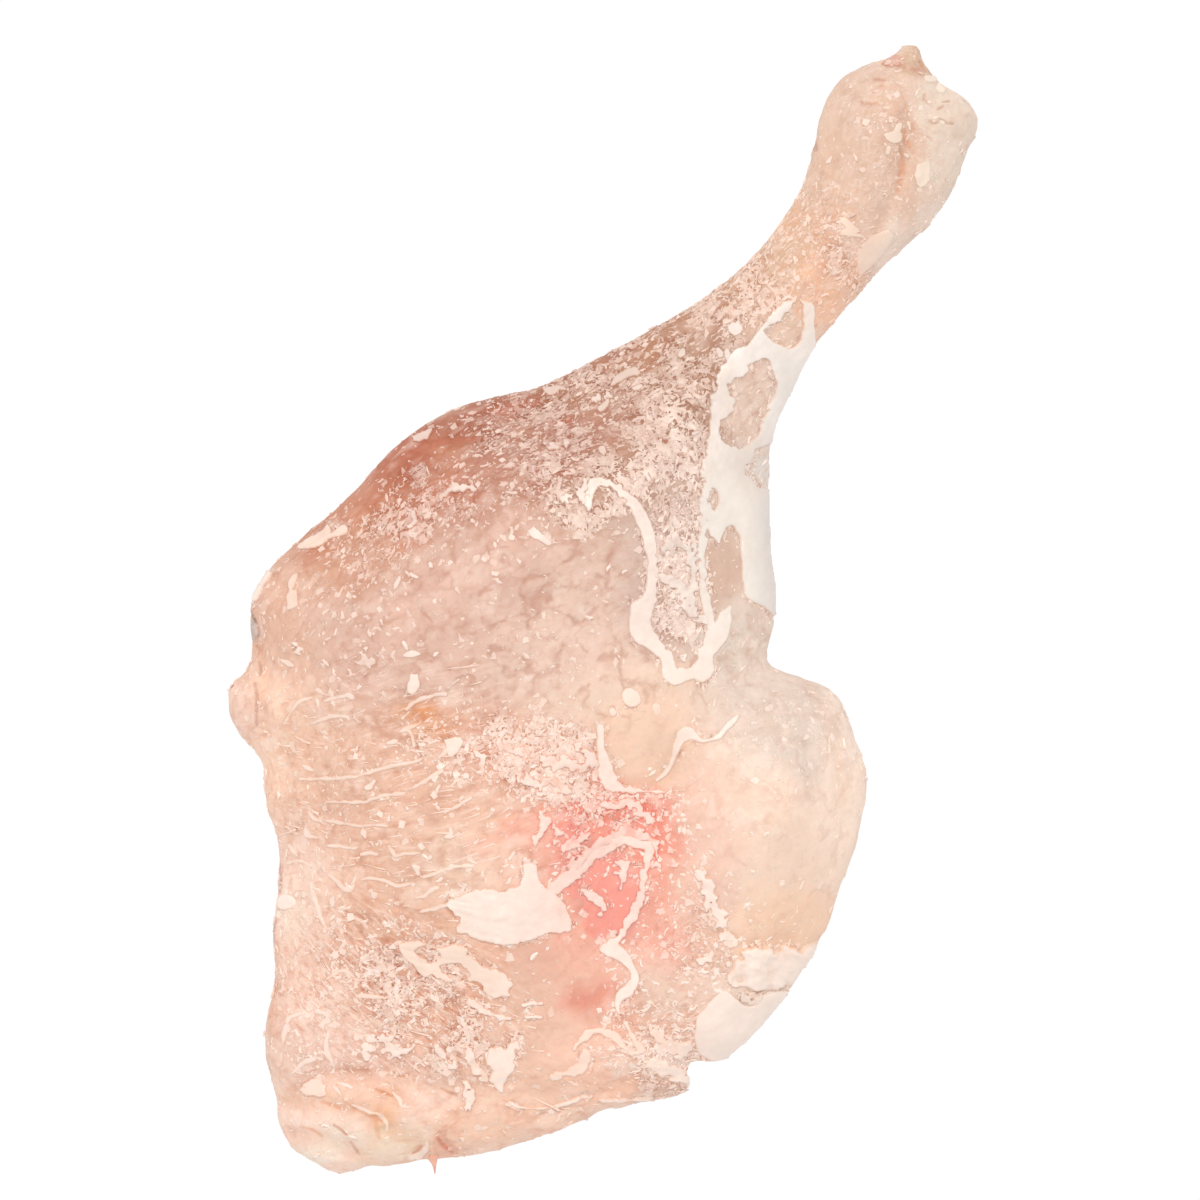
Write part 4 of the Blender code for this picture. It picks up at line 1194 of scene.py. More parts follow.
skin_places = photo_places(skin_points)
clumped = inside_ice(skin_places, CLUMP_OUTLINES, {})
iced = np.max([inside_calf_ice(skin_places), inside_thigh_ice(skin_places), clumped], axis=0)
under_ice = smooth_step(iced, -1.0, 2.0)[:, None] * (skin_up < ICE_ENDS_AT)[:, None]
tint = creased(skin_tint(skin_places), skin_places)
tint += under_ice * (linear(ICE_TINT) - tint)
put(skin_mesh, "skin_tint", "FLOAT_COLOR", tint)
put(skin_mesh, "frost_cover", "FLOAT", frost_cover(skin_places, iced))
for area in AREAS:
    put(skin_mesh, area, "FLOAT", area_share(skin_places, area))
grain = UPPER_GRAIN + (LOWER_GRAIN - UPPER_GRAIN) * smooth_step(skin_places[:, 1], *GRAIN_TURNS_AT)
grain += GRAIN_WANDER * rough_noise(skin_places, GRAIN_WANDER_SIZE, 91)
directions = np.column_stack([np.cos(grain), np.sin(grain), np.zeros(len(grain))])
put(skin_mesh, "grain", "FLOAT_VECTOR", directions)
print("painted", len(skin_mesh.attributes), "attributes")

# %% [markdown]
# ## How finishes are put together
# Every finish here is a node tree built by code. These helpers add a node with its inputs in one
# call, do arithmetic, turn noise into blotches with a soft edge, and lay one colour over another.

# %% Helpers for finishes
def add_node(tree, kind, inputs=(), **settings):
    """A new node with its settings, and its inputs set or linked."""
    made = tree.nodes.new(kind)
    for name, value in settings.items():
        setattr(made, name, value)
    for name, value in dict(inputs).items():
        if isinstance(value, bpy.types.NodeSocket):
            tree.links.new(value, made.inputs[name])
        else:
            made.inputs[name].default_value = value
    return made


def calc(tree, operation, first, second=0.0, third=0.0):
    """One step of arithmetic on numbers or sockets."""
    inputs = {0: first, 1: second, 2: third}
    return add_node(tree, "ShaderNodeMath", inputs, operation=operation).outputs[0]


def product(tree, first, *others):
    """Numbers or sockets multiplied together."""
    for other in others:
        first = calc(tree, "MULTIPLY", first, other)
    return first


def largest(tree, first, *others):
    """The largest of some numbers or sockets."""
    for other in others:
        first = calc(tree, "MAXIMUM", first, other)
    return first


def between(tree, value, at_0, at_1):
    """0 where the value is at_0 or beyond, 1 where it is at_1 or beyond, eased between them."""
    inputs = {"Value": value, "From Min": at_0, "From Max": at_1}
    return add_node(tree, "ShaderNodeMapRange", inputs, interpolation_type="SMOOTHSTEP").outputs[0]


def lay_over(tree, share, under, over):
    """One colour laid over another by a share."""
    inputs = {0: share, 6: under, 7: over}
    return add_node(tree, "ShaderNodeMix", inputs, data_type="RGBA").outputs[2]


def noise_value(tree, place, size, detail=2.0, distortion=0.0, roughness=0.55):
    """Noise about 0.5, its bumps `size` metres across."""
    inputs = {"Vector": place, "Scale": 1.0 / size, "Detail": detail, "Roughness": roughness}
    inputs["Distortion"] = distortion
    return add_node(tree, "ShaderNodeTexNoise", inputs).outputs[0]


def attribute_of(tree, name, output="Fac"):
    return add_node(tree, "ShaderNodeAttribute", attribute_name=name).outputs[output]


def new_finish(name, roughness, **constants):
    """A material with a Principled shader whose plain numbers sit on its own sockets."""
    material = bpy.data.materials.new(name)
    material.use_nodes = True
    shader = material.node_tree.nodes["Principled BSDF"]
    shader.inputs["Roughness"].default_value = roughness
    for socket, value in constants.items():
        shader.inputs[socket.replace("_", " ")].default_value = value
    return material, material.node_tree, shader


def srgb(*colour):
    return (*linear(colour), 1.0)


# %% [markdown]
# ## Skin under frost
# The finish reads the painted tint and adds what is finer than a vertex. The bare skin comes first:
# clouds, soft facets and mottling, pale blotches, a stipple of dry scales, faint dark threads under
# the calf's skin and fine streaks on the thigh. Frost comes over it: clusters, flecks, curls and
# platelets, more of them where the painted cover is higher, with a narrow dark gap round most of
# them, as the skin beside a real fleck is in its shade. Bump raises them a little. Most of this frost
# is far too fine for geometry, and a pattern costs nothing where there is none.

# %% Colours and strengths of the skin's finish
FLECK_COLOUR = srgb(255, 232, 218)
THREAD_COLOUR = srgb(196, 146, 124)
STREAK_COLOUR = srgb(254, 226, 208)
# DEEP makes a colour darker and warmer: the colour of thin skin over meat, and painted shade under and
# round frost.
DEEP = (0.62, 0.36, 0.25, 1.0)
DULL_FLECKS = 0.65
BRIGHT_FLECKS = 0.88
# Painted shade: the skin darker and warmer under dense frost, and in the narrow gap round each fleck.
SHADE_UNDER_FROST = 0.28
FROST_GAP_SHADE = 0.52
BLOTCHES = 0.34
SCALES = 0.24
SCALE_GAPS = 0.14
THREADS = 0.62
STREAKS = 0.68
DARK_STREAKS = 0.38
FACETS = (
    # size, how pale they are, how deep the lines between them are
    (3.4 * MM, 0.30, 0.22),
    (1.5 * MM, 0.14, 0.12),
)
MOTTLES = (
    # size, distortion, noise where one starts and where it is full, depth
    (2.0 * MM, 0.6, 0.48, 0.70, 0.18),
    (3.6 * MM, 0.5, 0.50, 0.68, 0.16),
)


def scaled(tree, value, low, high):
    """A noise value from 0.3 to 0.7 brought to a range of its own."""
    inputs = {"Value": value, "From Min": 0.3, "From Max": 0.7, "To Min": low, "To Max": high}
    return add_node(tree, "ShaderNodeMapRange", inputs).outputs[0]


def multiplied(tree, share, colour, by):
    inputs = {0: share, 6: colour, 7: by}
    return add_node(tree, "ShaderNodeMix", inputs, data_type="RGBA", blend_type="MULTIPLY").outputs[2]


def darker(tree, shade, colour):
    """A colour times a plain number."""
    grey = add_node(tree, "ShaderNodeCombineColor", {0: shade, 1: shade, 2: shade}).outputs[0]
    return multiplied(tree, 1.0, colour, grey)


def deepened(tree, share, colour):
    """A colour made darker and warmer by a share: thin skin over meat, and painted shade under and round
    frost.
    """
    return multiplied(tree, share, colour, DEEP)


# %% Patterns that several textures share
def warped(tree, place, size, reach):
    """A place pushed about by noise, so that cells and lines get crooked edges."""
    inputs = {"Vector": place, "Scale": 1.0 / size, "Detail": 2.0}
    push = add_node(tree, "ShaderNodeTexNoise", inputs).outputs[1]
    inputs = {0: push, 1: (reach,) * 3, 2: place}
    return add_node(tree, "ShaderNodeVectorMath", inputs, operation="MULTIPLY_ADD").outputs[0]


def drawn_out(tree, place, turn, stretch):
    """A place where patterns come out longer along one direction, `turn` degrees from X."""
    inputs = {"Vector": place, "Rotation": (0.0, 0.0, math.radians(turn)), "Scale": (stretch, 1.0, 1.0)}
    return add_node(tree, "ShaderNodeMapping", inputs, vector_type="TEXTURE").outputs[0]


def cells(tree, place, size, crookedness):
    """Crooked cells: a chance of its own for each, and how far in from its edge a place lies."""
    inputs = {"Vector": warped(tree, place, size, size * crookedness), "Scale": 1.0 / size}
    colour = add_node(tree, "ShaderNodeTexVoronoi", inputs).outputs[1]
    chance = add_node(tree, "ShaderNodeSeparateColor", {0: colour}).outputs[0]
    edge = add_node(tree, "ShaderNodeTexVoronoi", inputs, feature="DISTANCE_TO_EDGE").outputs[0]
    return chance, edge


# %% The bare skin: clouds, facets and mottling
def facets(tree, place, size, share):
    """Soft-edged facets of the skin, some paler by chance, and the soft broken lines between them."""
    chance, edge = cells(tree, drawn_out(tree, place, 24, 1.7), size, 0.8)
    pale = product(tree, between(tree, chance, 0.35, 1.0), between(tree, edge, 0.0, 0.28), share)
    broken = between(tree, noise_value(tree, place, size, detail=3.0), 0.47, 0.62)
    return pale, product(tree, between(tree, edge, 0.14, 0.0), broken, share)


def mottled(tree, place, colour, uneven):
    """Clouds, facets, mottling and a faint grain of the bare skin."""
    cloud = scaled(tree, noise_value(tree, place, 7.0 * MM, detail=3.0), 0.95, 1.05)
    grain = scaled(tree, noise_value(tree, place, 0.8 * MM), 0.98, 1.02)
    colour = darker(tree, product(tree, cloud, grain), colour)
    for size, paleness, depth in FACETS:
        pale, line = facets(tree, place, size, uneven)
        colour = lay_over(tree, product(tree, pale, paleness), colour, FLECK_COLOUR)
        colour = deepened(tree, product(tree, line, depth), colour)
    for size, distortion, starts, full, depth in MOTTLES:
        value = noise_value(tree, place, size, detail=3.0, distortion=distortion)
        mottle = product(tree, between(tree, value, starts, full), depth, uneven)
        colour = deepened(tree, mottle, colour)
    return colour


# %% The bare skin: blotches, dry scales, threads and streaks
def blotched(tree, place, colour):
    """Pale blotches, as of fat that shows through."""
    value = noise_value(tree, place, 2.6 * MM, detail=4.0, distortion=1.0)
    blotch = product(tree, between(tree, value, 0.50, 0.62), attribute_of(tree, "blotches"), BLOTCHES)
    return lay_over(tree, blotch, colour, FLECK_COLOUR)


def stippled(tree, place, colour):
    """Small low scales of dry skin, paler than the gaps between them, and where they stand."""
    share = attribute_of(tree, "stipple")
    value = noise_value(tree, place, 1.3 * MM, detail=3.0, distortion=1.4)
    scale = product(tree, between(tree, value, 0.49, 0.55), share)
    gap = product(tree, between(tree, value, 0.47, 0.42), share)
    colour = deepened(tree, product(tree, gap, SCALE_GAPS), colour)
    return lay_over(tree, product(tree, scale, SCALES), colour, FLECK_COLOUR), scale


def threaded(tree, place, colour, size=5.0 * MM, width=0.16):
    """A faint net of wandering dark threads, broken up, and where they run."""
    inputs = {"Vector": warped(tree, place, size * 0.6, size * 0.9), "Scale": 1.0 / size}
    edge = add_node(tree, "ShaderNodeTexVoronoi", inputs, feature="DISTANCE_TO_EDGE").outputs[0]
    broken = between(tree, noise_value(tree, place, size * 0.8, detail=3.0), 0.47, 0.60)
    share = product(tree, attribute_of(tree, "threads"), THREADS)
    thread = product(tree, between(tree, edge, width, 0.0), broken, share)
    return lay_over(tree, thread, colour, THREAD_COLOUR), thread


def streaks_along(tree, place, turn, share, width, stretch, rise):
    """Pale lines along one direction, over a share of the surface, and the darker ones between."""
    value = noise_value(tree, drawn_out(tree, place, turn, stretch), width, detail=2.5, distortion=0.5)
    pale = product(tree, between(tree, value, 0.60 - rise, 0.60 + rise), share)
    return pale, product(tree, between(tree, value, 0.47, 0.38), share)


def streaked(tree, place, colour):
    """Faint streaks that rise across the thigh and clear ones that fall below it, and their place."""
    share = attribute_of(tree, "streaks")
    rising, rising_dark = streaks_along(tree, place, 12, share, 1.1 * MM, 6.0, 0.06)
    share = attribute_of(tree, "low_streaks")
    falling, falling_dark = streaks_along(tree, place, -36, share, 0.75 * MM, 4.0, 0.03)
    dark = largest(tree, product(tree, rising_dark, 0.4), falling_dark)
    colour = deepened(tree, product(tree, dark, DARK_STREAKS), colour)
    pale = product(tree, largest(tree, product(tree, rising, 0.5), falling), STREAKS)
    return lay_over(tree, pale, colour, STREAK_COLOUR), pale


# %% Frost too fine for geometry: flecks, curls and platelets
def flecks(tree, place, size, cover, distortion, rarity):
    """Irregular flecks over the given share of the surface, and the narrow gap round each, where painted
    shade goes.
    """
    value = noise_value(tree, place, size, distortion=distortion)
    above = calc(tree, "SUBTRACT", value, calc(tree, "MULTIPLY_ADD", cover, -0.40, rarity))
    fleck = between(tree, above, -0.010, 0.016)
    gap = calc(tree, "SUBTRACT", between(tree, above, -0.07, -0.02), fleck)
    return fleck, largest(tree, gap, 0.0)


def worms(tree, place, size, width):
    """Curly lines, where noise crosses its middle, and the gap on both sides, where painted shade goes."""
    value = noise_value(tree, place, size, detail=1.5, distortion=1.2)
    away = calc(tree, "ABSOLUTE", calc(tree, "SUBTRACT", value, 0.5))
    line = between(tree, away, width, width * 0.7)
    broad = between(tree, away, width * 2.2, width * 1.4)
    return line, calc(tree, "SUBTRACT", broad, line)


def platelets(tree, place, size, cover):
    """Crooked cells, of which chance lifts a share as plates, and the gaps between them, where painted
    shade goes.
    """
    chance, edge = cells(tree, place, size, 0.9)
    lifted = between(tree, calc(tree, "SUBTRACT", cover, chance), -0.01, 0.01)
    plate = product(tree, lifted, between(tree, edge, 0.05, 0.11))
    return plate, product(tree, between(tree, edge, 0.10, 0.0), between(tree, cover, 0.05, 0.35))


def frost_strength(tree):
    """How strongly a fleck covers the skin: dull on the drumstick, bright on the thigh."""
    bright = attribute_of(tree, "bright_frost")
    return calc(tree, "MULTIPLY_ADD", bright, BRIGHT_FLECKS - DULL_FLECKS, DULL_FLECKS)


def frosted(tree, place, colour):
    """Clusters, flecks, curls and platelets of frost over a colour, with painted shade under and round
    them, and how high they stand.
    """
    cover = attribute_of(tree, "frost_cover")
    cluster, cluster_gap = flecks(tree, place, 2.4 * MM, cover, 1.6, rarity=0.75)
    coarse, coarse_gap = flecks(tree, place, 1.3 * MM, cover, 1.4, rarity=0.71)
    fine = flecks(tree, place, 0.8 * MM, cover, 0.8, rarity=0.74)[0]
    curl, curl_gap = worms(tree, place, 1.6 * MM, 0.10)
    plate, plate_gap = platelets(tree, place, 1.2 * MM, product(tree, cover, 0.4))
    dense = between(tree, cover, 0.10, 0.45)
    curled = product(tree, dense, between(tree, noise_value(tree, place, 4.0 * MM), 0.42, 0.58))
    high = largest(
        tree, product(tree, cluster, 0.95), product(tree, coarse, 0.85), product(tree, fine, 0.5),
        product(tree, curl, curled, 0.8), product(tree, plate, 0.7),
    )
    gap = largest(tree, coarse_gap, cluster_gap, product(tree, curl_gap, curled), plate_gap)
    # Painted shade: darker, warmer skin under dense frost and in the gaps round flecks.
    colour = deepened(tree, product(tree, dense, SHADE_UNDER_FROST), colour)
    colour = deepened(tree, product(tree, gap, dense, FROST_GAP_SHADE), colour)
    bright = scaled(tree, noise_value(tree, place, 2.4 * MM, detail=3.0), 0.6, 1.2)
    share = product(tree, high, product(tree, bright, frost_strength(tree)))
    return lay_over(tree, share, colour, FLECK_COLOUR), high


# %% The skin's finish
RELIEF = 0.2 * MM


def skin_finish():
    material, tree, shader = new_finish(
        "duck_skin_frosted", 0.55, Specular_IOR_Level=0.2, Subsurface_Weight=0.15,
        Subsurface_Scale=0.8 * MM, Subsurface_Radius=(1.0, 0.45, 0.3),
    )
    place = add_node(tree, "ShaderNodeTexCoord").outputs["Object"]
    uneven = calc(tree, "MULTIPLY_ADD", attribute_of(tree, "smooth_fat"), -0.75, 1.0)
    colour = mottled(tree, place, attribute_of(tree, "skin_tint", "Color"), uneven)
    colour = blotched(tree, place, colour)
    colour, scale = stippled(tree, place, colour)
    colour, thread = threaded(tree, place, colour)
    colour, streak = streaked(tree, place, colour)
    colour, high = frosted(tree, place, colour)

    pores = noise_value(tree, place, 1.1 * MM)
    relief = product(tree, high, 0.8)
    for pattern, height in ((pores, 0.4), (scale, 0.5), (streak, 0.6), (thread, -1.0)):
        relief = calc(tree, "MULTIPLY_ADD", pattern, height, relief)
    bump = add_node(tree, "ShaderNodeBump", {"Height": relief, "Strength": 0.7, "Distance": RELIEF})
    rough = add_node(tree, "ShaderNodeMapRange", {"Value": high, "To Min": 0.5, "To Max": 0.8})
    tree.links.new(colour, shader.inputs["Base Color"])
    tree.links.new(rough.outputs[0], shader.inputs["Roughness"])
    tree.links.new(bump.outputs[0], shader.inputs["Normal"])
    return material


skin = new_object("duck_leg_skin", skin_mesh)
skin_mesh.materials.clear()
skin_mesh.materials.append(skin_finish())
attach(skin, "root")
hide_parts("duck_leg")
print("the skin's finish has", len(skin_mesh.materials[0].node_tree.nodes), "nodes")

# %% [markdown]
# A spike of torn skin hangs from the tail's edge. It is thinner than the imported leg's own faces, so
# it is a little mesh of its own: rings of corners that get smaller from inside the rim to the tip.
# It has the skin's finish, and one tint.

# %% The torn spike at the tail's edge
TUFT_LINE = [
    (435, 1148, 5.0), (434, 1156, 5.0), (433, 1160, 4.4), (434, 1163.5, 2.6), (434.5, 1167, 1.5),
    (435, 1174, 0.4),
]
TUFT_REACH = 5.0
TUFT_SIDES = 8
TUFT_FLATNESS = 0.7
TUFT_TINT = (232, 178, 156)


def closed_mesh(name, corners, faces):
    """A mesh from corners and faces, each face turned outwards."""
    mesh = bpy.data.meshes.new(name)
    mesh.from_pydata(np.array(corners).tolist(), [], faces)
    bm = bmesh.new()
    bm.from_mesh(mesh)
    bmesh.ops.recalc_face_normals(bm, faces=bm.faces)
    bm.to_mesh(mesh)
    bm.free()
    return mesh


def ring_walls(low, sides):
    """The faces between the ring of corners that starts at number low and the ring after it."""
    pairs = [(low + k, low + (k + 1) % sides) for k in range(sides)]
    return [(here, here + sides, ahead + sides, ahead) for here, ahead in pairs]


def skin_tuft():
    """The spike as a closed mesh, at the height of the skin beside it."""
    line = np.array(TUFT_LINE)
    beside = np.hypot(*(skin_places - line[1, :2]).T) < TUFT_REACH
    height = float(np.median(skin_points[beside, 2]))
    away = (camera.location.z - height) / CAMERA_RISE
    middles = np.array(camera.location) + away * sight_lines(line[:, :2])
    turns = np.arange(TUFT_SIDES) * 2 * math.pi / TUFT_SIDES
    ring = np.column_stack([np.cos(turns), np.zeros(TUFT_SIDES), TUFT_FLATNESS * np.sin(turns)]) * PIXEL
    corners = np.vstack([middle + half * ring for middle, half in zip(middles, line[:, 2])])
    last = len(corners) - TUFT_SIDES
    faces = [tuple(range(TUFT_SIDES)), tuple(range(last, len(corners)))]
    for low in range(0, last, TUFT_SIDES):
        faces += ring_walls(low, TUFT_SIDES)
    mesh = closed_mesh("skin_tuft", corners, faces)
    mesh.shade_smooth()
    put(mesh, "skin_tint", "FLOAT_COLOR", np.tile(linear(TUFT_TINT), (len(corners), 1)))
    return mesh


tuft_mesh = skin_tuft()
tuft_mesh.materials.append(skin_mesh.materials[0])
tuft = new_object("skin_tuft", tuft_mesh)
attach(tuft, "root")
print("the spike reaches", round(rows_of(tuft_mesh.vertices, "co")[:, 1].min() / MM, 1), "mm")

# %% [markdown]
# ## Films and slabs of ice
# A film of ice is a thin sheet with a crisp edge that follows the skin. It could be painted, but a
# sheet with real thickness catches light at its rim. Each one is cut out of a fine grid laid over
# the photograph: where the signed distance crosses zero, the grid's squares are trimmed to the exact
# line. Every corner is then dropped onto the skin along the camera's line of sight, raised by its
# thickness, and closed underneath.

# %% Cut a sheet out of a grid
GRID_STEP = 1.25
FINE_STEP = 1.0
EDGE_TRIM = 0.12


def cut_sheet(distance, columns, rows):
    """Corners and faces of the part of a grid where the distance is above zero, as grid positions."""
    corners, faces, numbers = [], [], {}

    def number_of(key, position):
        if key not in numbers:
            numbers[key] = len(corners)
            corners.append(position)
        return numbers[key]

    inside = distance > 0
    count = inside[:-1, :-1].astype(int) + inside[1:, :-1] + inside[1:, 1:] + inside[:-1, 1:]
    for row, column in np.argwhere(count > 0):
        ring = [(row, column), (row, column + 1), (row + 1, column + 1), (row + 1, column)]
        face = []
        for start, end in zip(ring, ring[1:] + ring[:1]):
            if inside[start]:
                face.append(number_of(start, (columns[start[1]], rows[start[0]])))
            if inside[start] != inside[end]:
                share = distance[start] / (distance[start] - distance[end])
                share = min(max(share, EDGE_TRIM), 1.0 - EDGE_TRIM)
                x = columns[start[1]] + share * (columns[end[1]] - columns[start[1]])
                y = rows[start[0]] + share * (rows[end[0]] - rows[start[0]])
                face.append(number_of(frozenset((start, end)), (x, y)))
        if len(face) > 2:
            faces.append(face)
    return np.array(corners), faces


# %% Drop places of the photograph onto the skin
STEEPEST = 0.04
skin_tree = BVHTree.FromPolygons(skin_points.tolist(), [tuple(p.vertices) for p in skin_mesh.polygons])


def landing(places):
    """Where each place of the photograph lands on the skin, the normal there, and whether it lands."""
    spots = np.zeros((len(places), 3))
    normals = np.tile((0.0, 0.0, 1.0), (len(places), 1))
    landed = np.zeros(len(places), bool)
    for number, direction in enumerate(sight_lines(places)):
        spot, normal, _, _ = skin_tree.ray_cast(camera.location, Vector(direction))
        if spot is not None:
            spots[number] = spot
            normals[number] = normal
            landed[number] = normal.z > STEEPEST
    return spots, normals, landed


# %% Raise and close a sheet
BURIED = 0.10 * MM
SUNK = 0.01 * MM
LUMP_SIZE = 14.0
LUMP_SEED = 71
LANDS_FROM = 0.6
LANDING_SLOPE = 6.0


def blurred(mask):
    """A mask with a soft edge."""
    soft = mask.astype(float)
    soft[1:-1] = (soft[:-2] + 2 * soft[1:-1] + soft[2:]) / 4
    soft[:, 1:-1] = (soft[:, :-2] + 2 * soft[:, 1:-1] + soft[:, 2:]) / 4
    return soft


def ice_sheet(name, inside, box, thickness, rim, lumps, step):
    """A closed sheet of ice. `inside` gives pixels inside it, and `rim` is its rounded edge in pixels."""
    columns = np.arange(box[0], box[2], step)
    rows = np.arange(box[1], box[3], step)
    grid = np.stack(np.meshgrid(columns, rows), axis=-1).reshape(-1, 2)
    distance = inside(grid)
    near = distance > -2 * step
    landed = np.zeros(len(grid), bool)
    landed[near] = landing(grid[near])[2]
    landed[~near] = True
    shape = (len(rows), len(columns))
    on_leg = (blurred(landed.reshape(shape)) - LANDS_FROM) * LANDING_SLOPE
    distance = np.minimum(distance.reshape(shape), on_leg)
    corners, faces = cut_sheet(distance, columns, rows)
    spots, normals, _ = landing(corners)
    depth = np.clip(np.minimum(inside(corners), rim) / rim, 0.0, 1.0)
    rise = thickness * np.sqrt(1.0 - (1.0 - depth) ** 2)
    rise *= 1.0 + lumps * rough_noise(corners, LUMP_SIZE, LUMP_SEED)
    normals = normals / np.linalg.norm(normals, axis=1)[:, None]
    top = spots + normals * (rise - SUNK)[:, None]
    bottom = spots - normals * BURIED
    return close_sheet(name, top, bottom, faces), corners


def close_sheet(name, top, bottom, faces):
    """A solid between two sheets with the same faces."""
    count = len(top)
    sides = {}
    for face in faces:
        for start, end in zip(face, face[1:] + face[:1]):
            if (end, start) in sides:
                del sides[(end, start)]
            else:
                sides[(start, end)] = True
    walls = [(end, start, start + count, end + count) for start, end in sides]
    under = [[corner + count for corner in reversed(face)] for face in faces]
    mesh = closed_mesh(name, np.vstack([top, bottom]), faces + under + walls)
    mesh.shade_smooth()
    return mesh


# %% [markdown]
# Ice is never quite white. The skin's tint shows through it where it is thin, so each sheet carries
# the tint below it as an attribute, with its own thickness, and the finish mixes the two.

# %% The finish of the ice
def ice_finish():
    material, tree, shader = new_finish("frost_ice", 0.4, Specular_IOR_Level=0.4)
    place = add_node(tree, "ShaderNodeTexCoord").outputs["Object"]
    cloud = scaled(tree, noise_value(tree, place, 5.0 * MM, detail=4.0, distortion=0.5), 0.80, 1.0)
    spots = scaled(tree, noise_value(tree, place, 1.2 * MM, detail=3.0), 0.86, 1.06)
    shade = scaled(tree, noise_value(tree, place, 2.2 * MM, detail=4.0), 0.95, 1.03)
    white = darker(tree, shade, attribute_of(tree, "ice_tint", "Color"))
    # The skin's tint seen through the ice, a little darker: faint painted shade at the ice's thin rims.
    below = darker(tree, 0.98, attribute_of(tree, "skin_tint", "Color"))
    share = product(tree, cloud, spots, attribute_of(tree, "whiteness"))
    grain = noise_value(tree, place, 1.1 * MM, detail=4.0)
    bump = add_node(tree, "ShaderNodeBump", {"Height": grain, "Strength": 0.5, "Distance": RELIEF})
    tree.links.new(lay_over(tree, share, below, white), shader.inputs["Base Color"])
    tree.links.new(bump.outputs[0], shader.inputs["Normal"])
    return material


ice_material = ice_finish()
ICE_WHITE = (253, 233, 220)
ICE_PATCHES = {
    # name: (middle x, y, radii x, y in pixels, turn, softness, colour, strength)
    "ring": (760, 380, 70, 90, 0, 0.5, (250, 239, 230), 1),
    "sheet": (740, 540, 60, 90, 0, 0.5, (244, 234, 223), 1),
    # Painted shade: the flank and flank above patches make the ice greyer on the right flank, where the leg
    # turns from the light.
    "flank": (772, 540, 18, 90, 2, 0.8, (222, 213, 206), 1),
    "grey above the bare patch": (752, 464, 22, 26, 20, 0.8, (224, 208, 197), 0.85),
    "ring left": (728, 400, 12, 50, 10, 0.8, (241, 223, 210), 0.8),
    "flank above": (794, 400, 16, 50, 14, 0.8, (238, 230, 222), 0.7),
    "round the raw patch": (606, 880, 60, 66, 30, 0.4, (253, 222, 208), 0.8),
    "film below the slab": (452, 964, 66, 34, -28, 0.4, (249, 223, 206), 1),
    "dots above the bulge": (622, 704, 22, 18, 0, 0.4, (254, 225, 209), 1),
    "low plate": (314, 1090, 22, 18, 0, 0.3, (252, 221, 205), 1),
    "edge slab": (740, 1020, 60, 50, 0, 0.5, (252, 232, 219), 1),
    "pale strokes": (600, 1050, 70, 36, 0, 0.5, (252, 222, 204), 1),
    "patch over the cut edge": (500, 1066, 30, 34, 0, 0.4, (254, 232, 218), 1),
    "knuckle": (905, 130, 60, 90, 0, 0.3, (243, 224, 206), 1),
    "film below the pad": (874, 252, 30, 18, 42, 0.3, (228, 208, 194), 1),
    "shank": (850, 235, 50, 40, 40, 0.4, (242, 216, 196), 1),
    "shin": (520, 440, 190, 60, 27, 0.3, (243, 222, 208), 1),
    "low shin": (320, 560, 60, 80, 40, 0.4, (248, 222, 204), 1),
}

# %% One finished piece of ice
VALLEY_SHADE = 0.55


def lay_on_leg(name, mesh):
    """A finished piece of frost that rides on the leg."""
    made = new_object(name, mesh)
    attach(made, "root")
    print(name, "has", triangles_of(mesh), "triangles")


def make_ice(name, inside, box, thickness, rim, lumps=0.0, step=GRID_STEP, body=1.0):
    """A sheet of ice with its tints and its finish. The skin shows through a body below one."""
    mesh, corners = ice_sheet(name, inside, box, thickness, rim, lumps, step)
    both = np.vstack([corners, corners])
    hollow = VALLEY_SHADE * lumps * smooth_step(-rough_noise(both, LUMP_SIZE, LUMP_SEED), 0.1, 0.7)
    whiteness = body * (1.0 - hollow) * smooth_step(inside(both) / rim, 0.1, 0.6)
    put(mesh, "skin_tint", "FLOAT_COLOR", skin_tint(both))
    put(mesh, "ice_tint", "FLOAT_COLOR", painted(both, ICE_WHITE, ICE_PATCHES))
    put(mesh, "whiteness", "FLOAT", whiteness)
    mesh.materials.append(ice_material)
    lay_on_leg(name, mesh)


# %% How far inside strands, flakes, clusters and clumps a place lies
STRAND_SPREAD = 0.5
STRAND_WANDER = 0.8
FLAKE_WANDER = 0.7
CLUSTER_SHRINK = 0.4
CRUMBLE = 4.0
CRUMBLE_SIZE = 4.5
CLUMP_WANDER = 3.0
CLUMP_WANDER_SIZE = 8.0


def inside_strands(places):
    deepest = np.max([inside_ribbon(places, spine) for spine in all_rows(STRANDS)], axis=0)
    return deepest + STRAND_SPREAD + STRAND_WANDER * rough_noise(places, TEETH_SIZE, 87)


def inside_flakes(places):
    chips = [inside_ribbon(places, spine, crooked_sides(k)) for k, spine in enumerate(all_rows(FLAKES))]
    return np.max(chips, axis=0) + FLAKE_WANDER * rough_noise(places, TEETH_SIZE, 87)


def inside_clusters(places):
    heaps = np.max([inside_ribbon(places, spine) for spine in all_rows(CLUSTERS)], axis=0)
    return heaps - CLUSTER_SHRINK + CRUMBLE * rough_noise(places, CRUMBLE_SIZE, 89, layers=2)


def inside_clumps(places):
    lumpy = CLUMP_WANDER * rough_noise(places, CLUMP_WANDER_SIZE, 83)
    return inside_ice(places, CLUMP_OUTLINES, {}) + lumpy


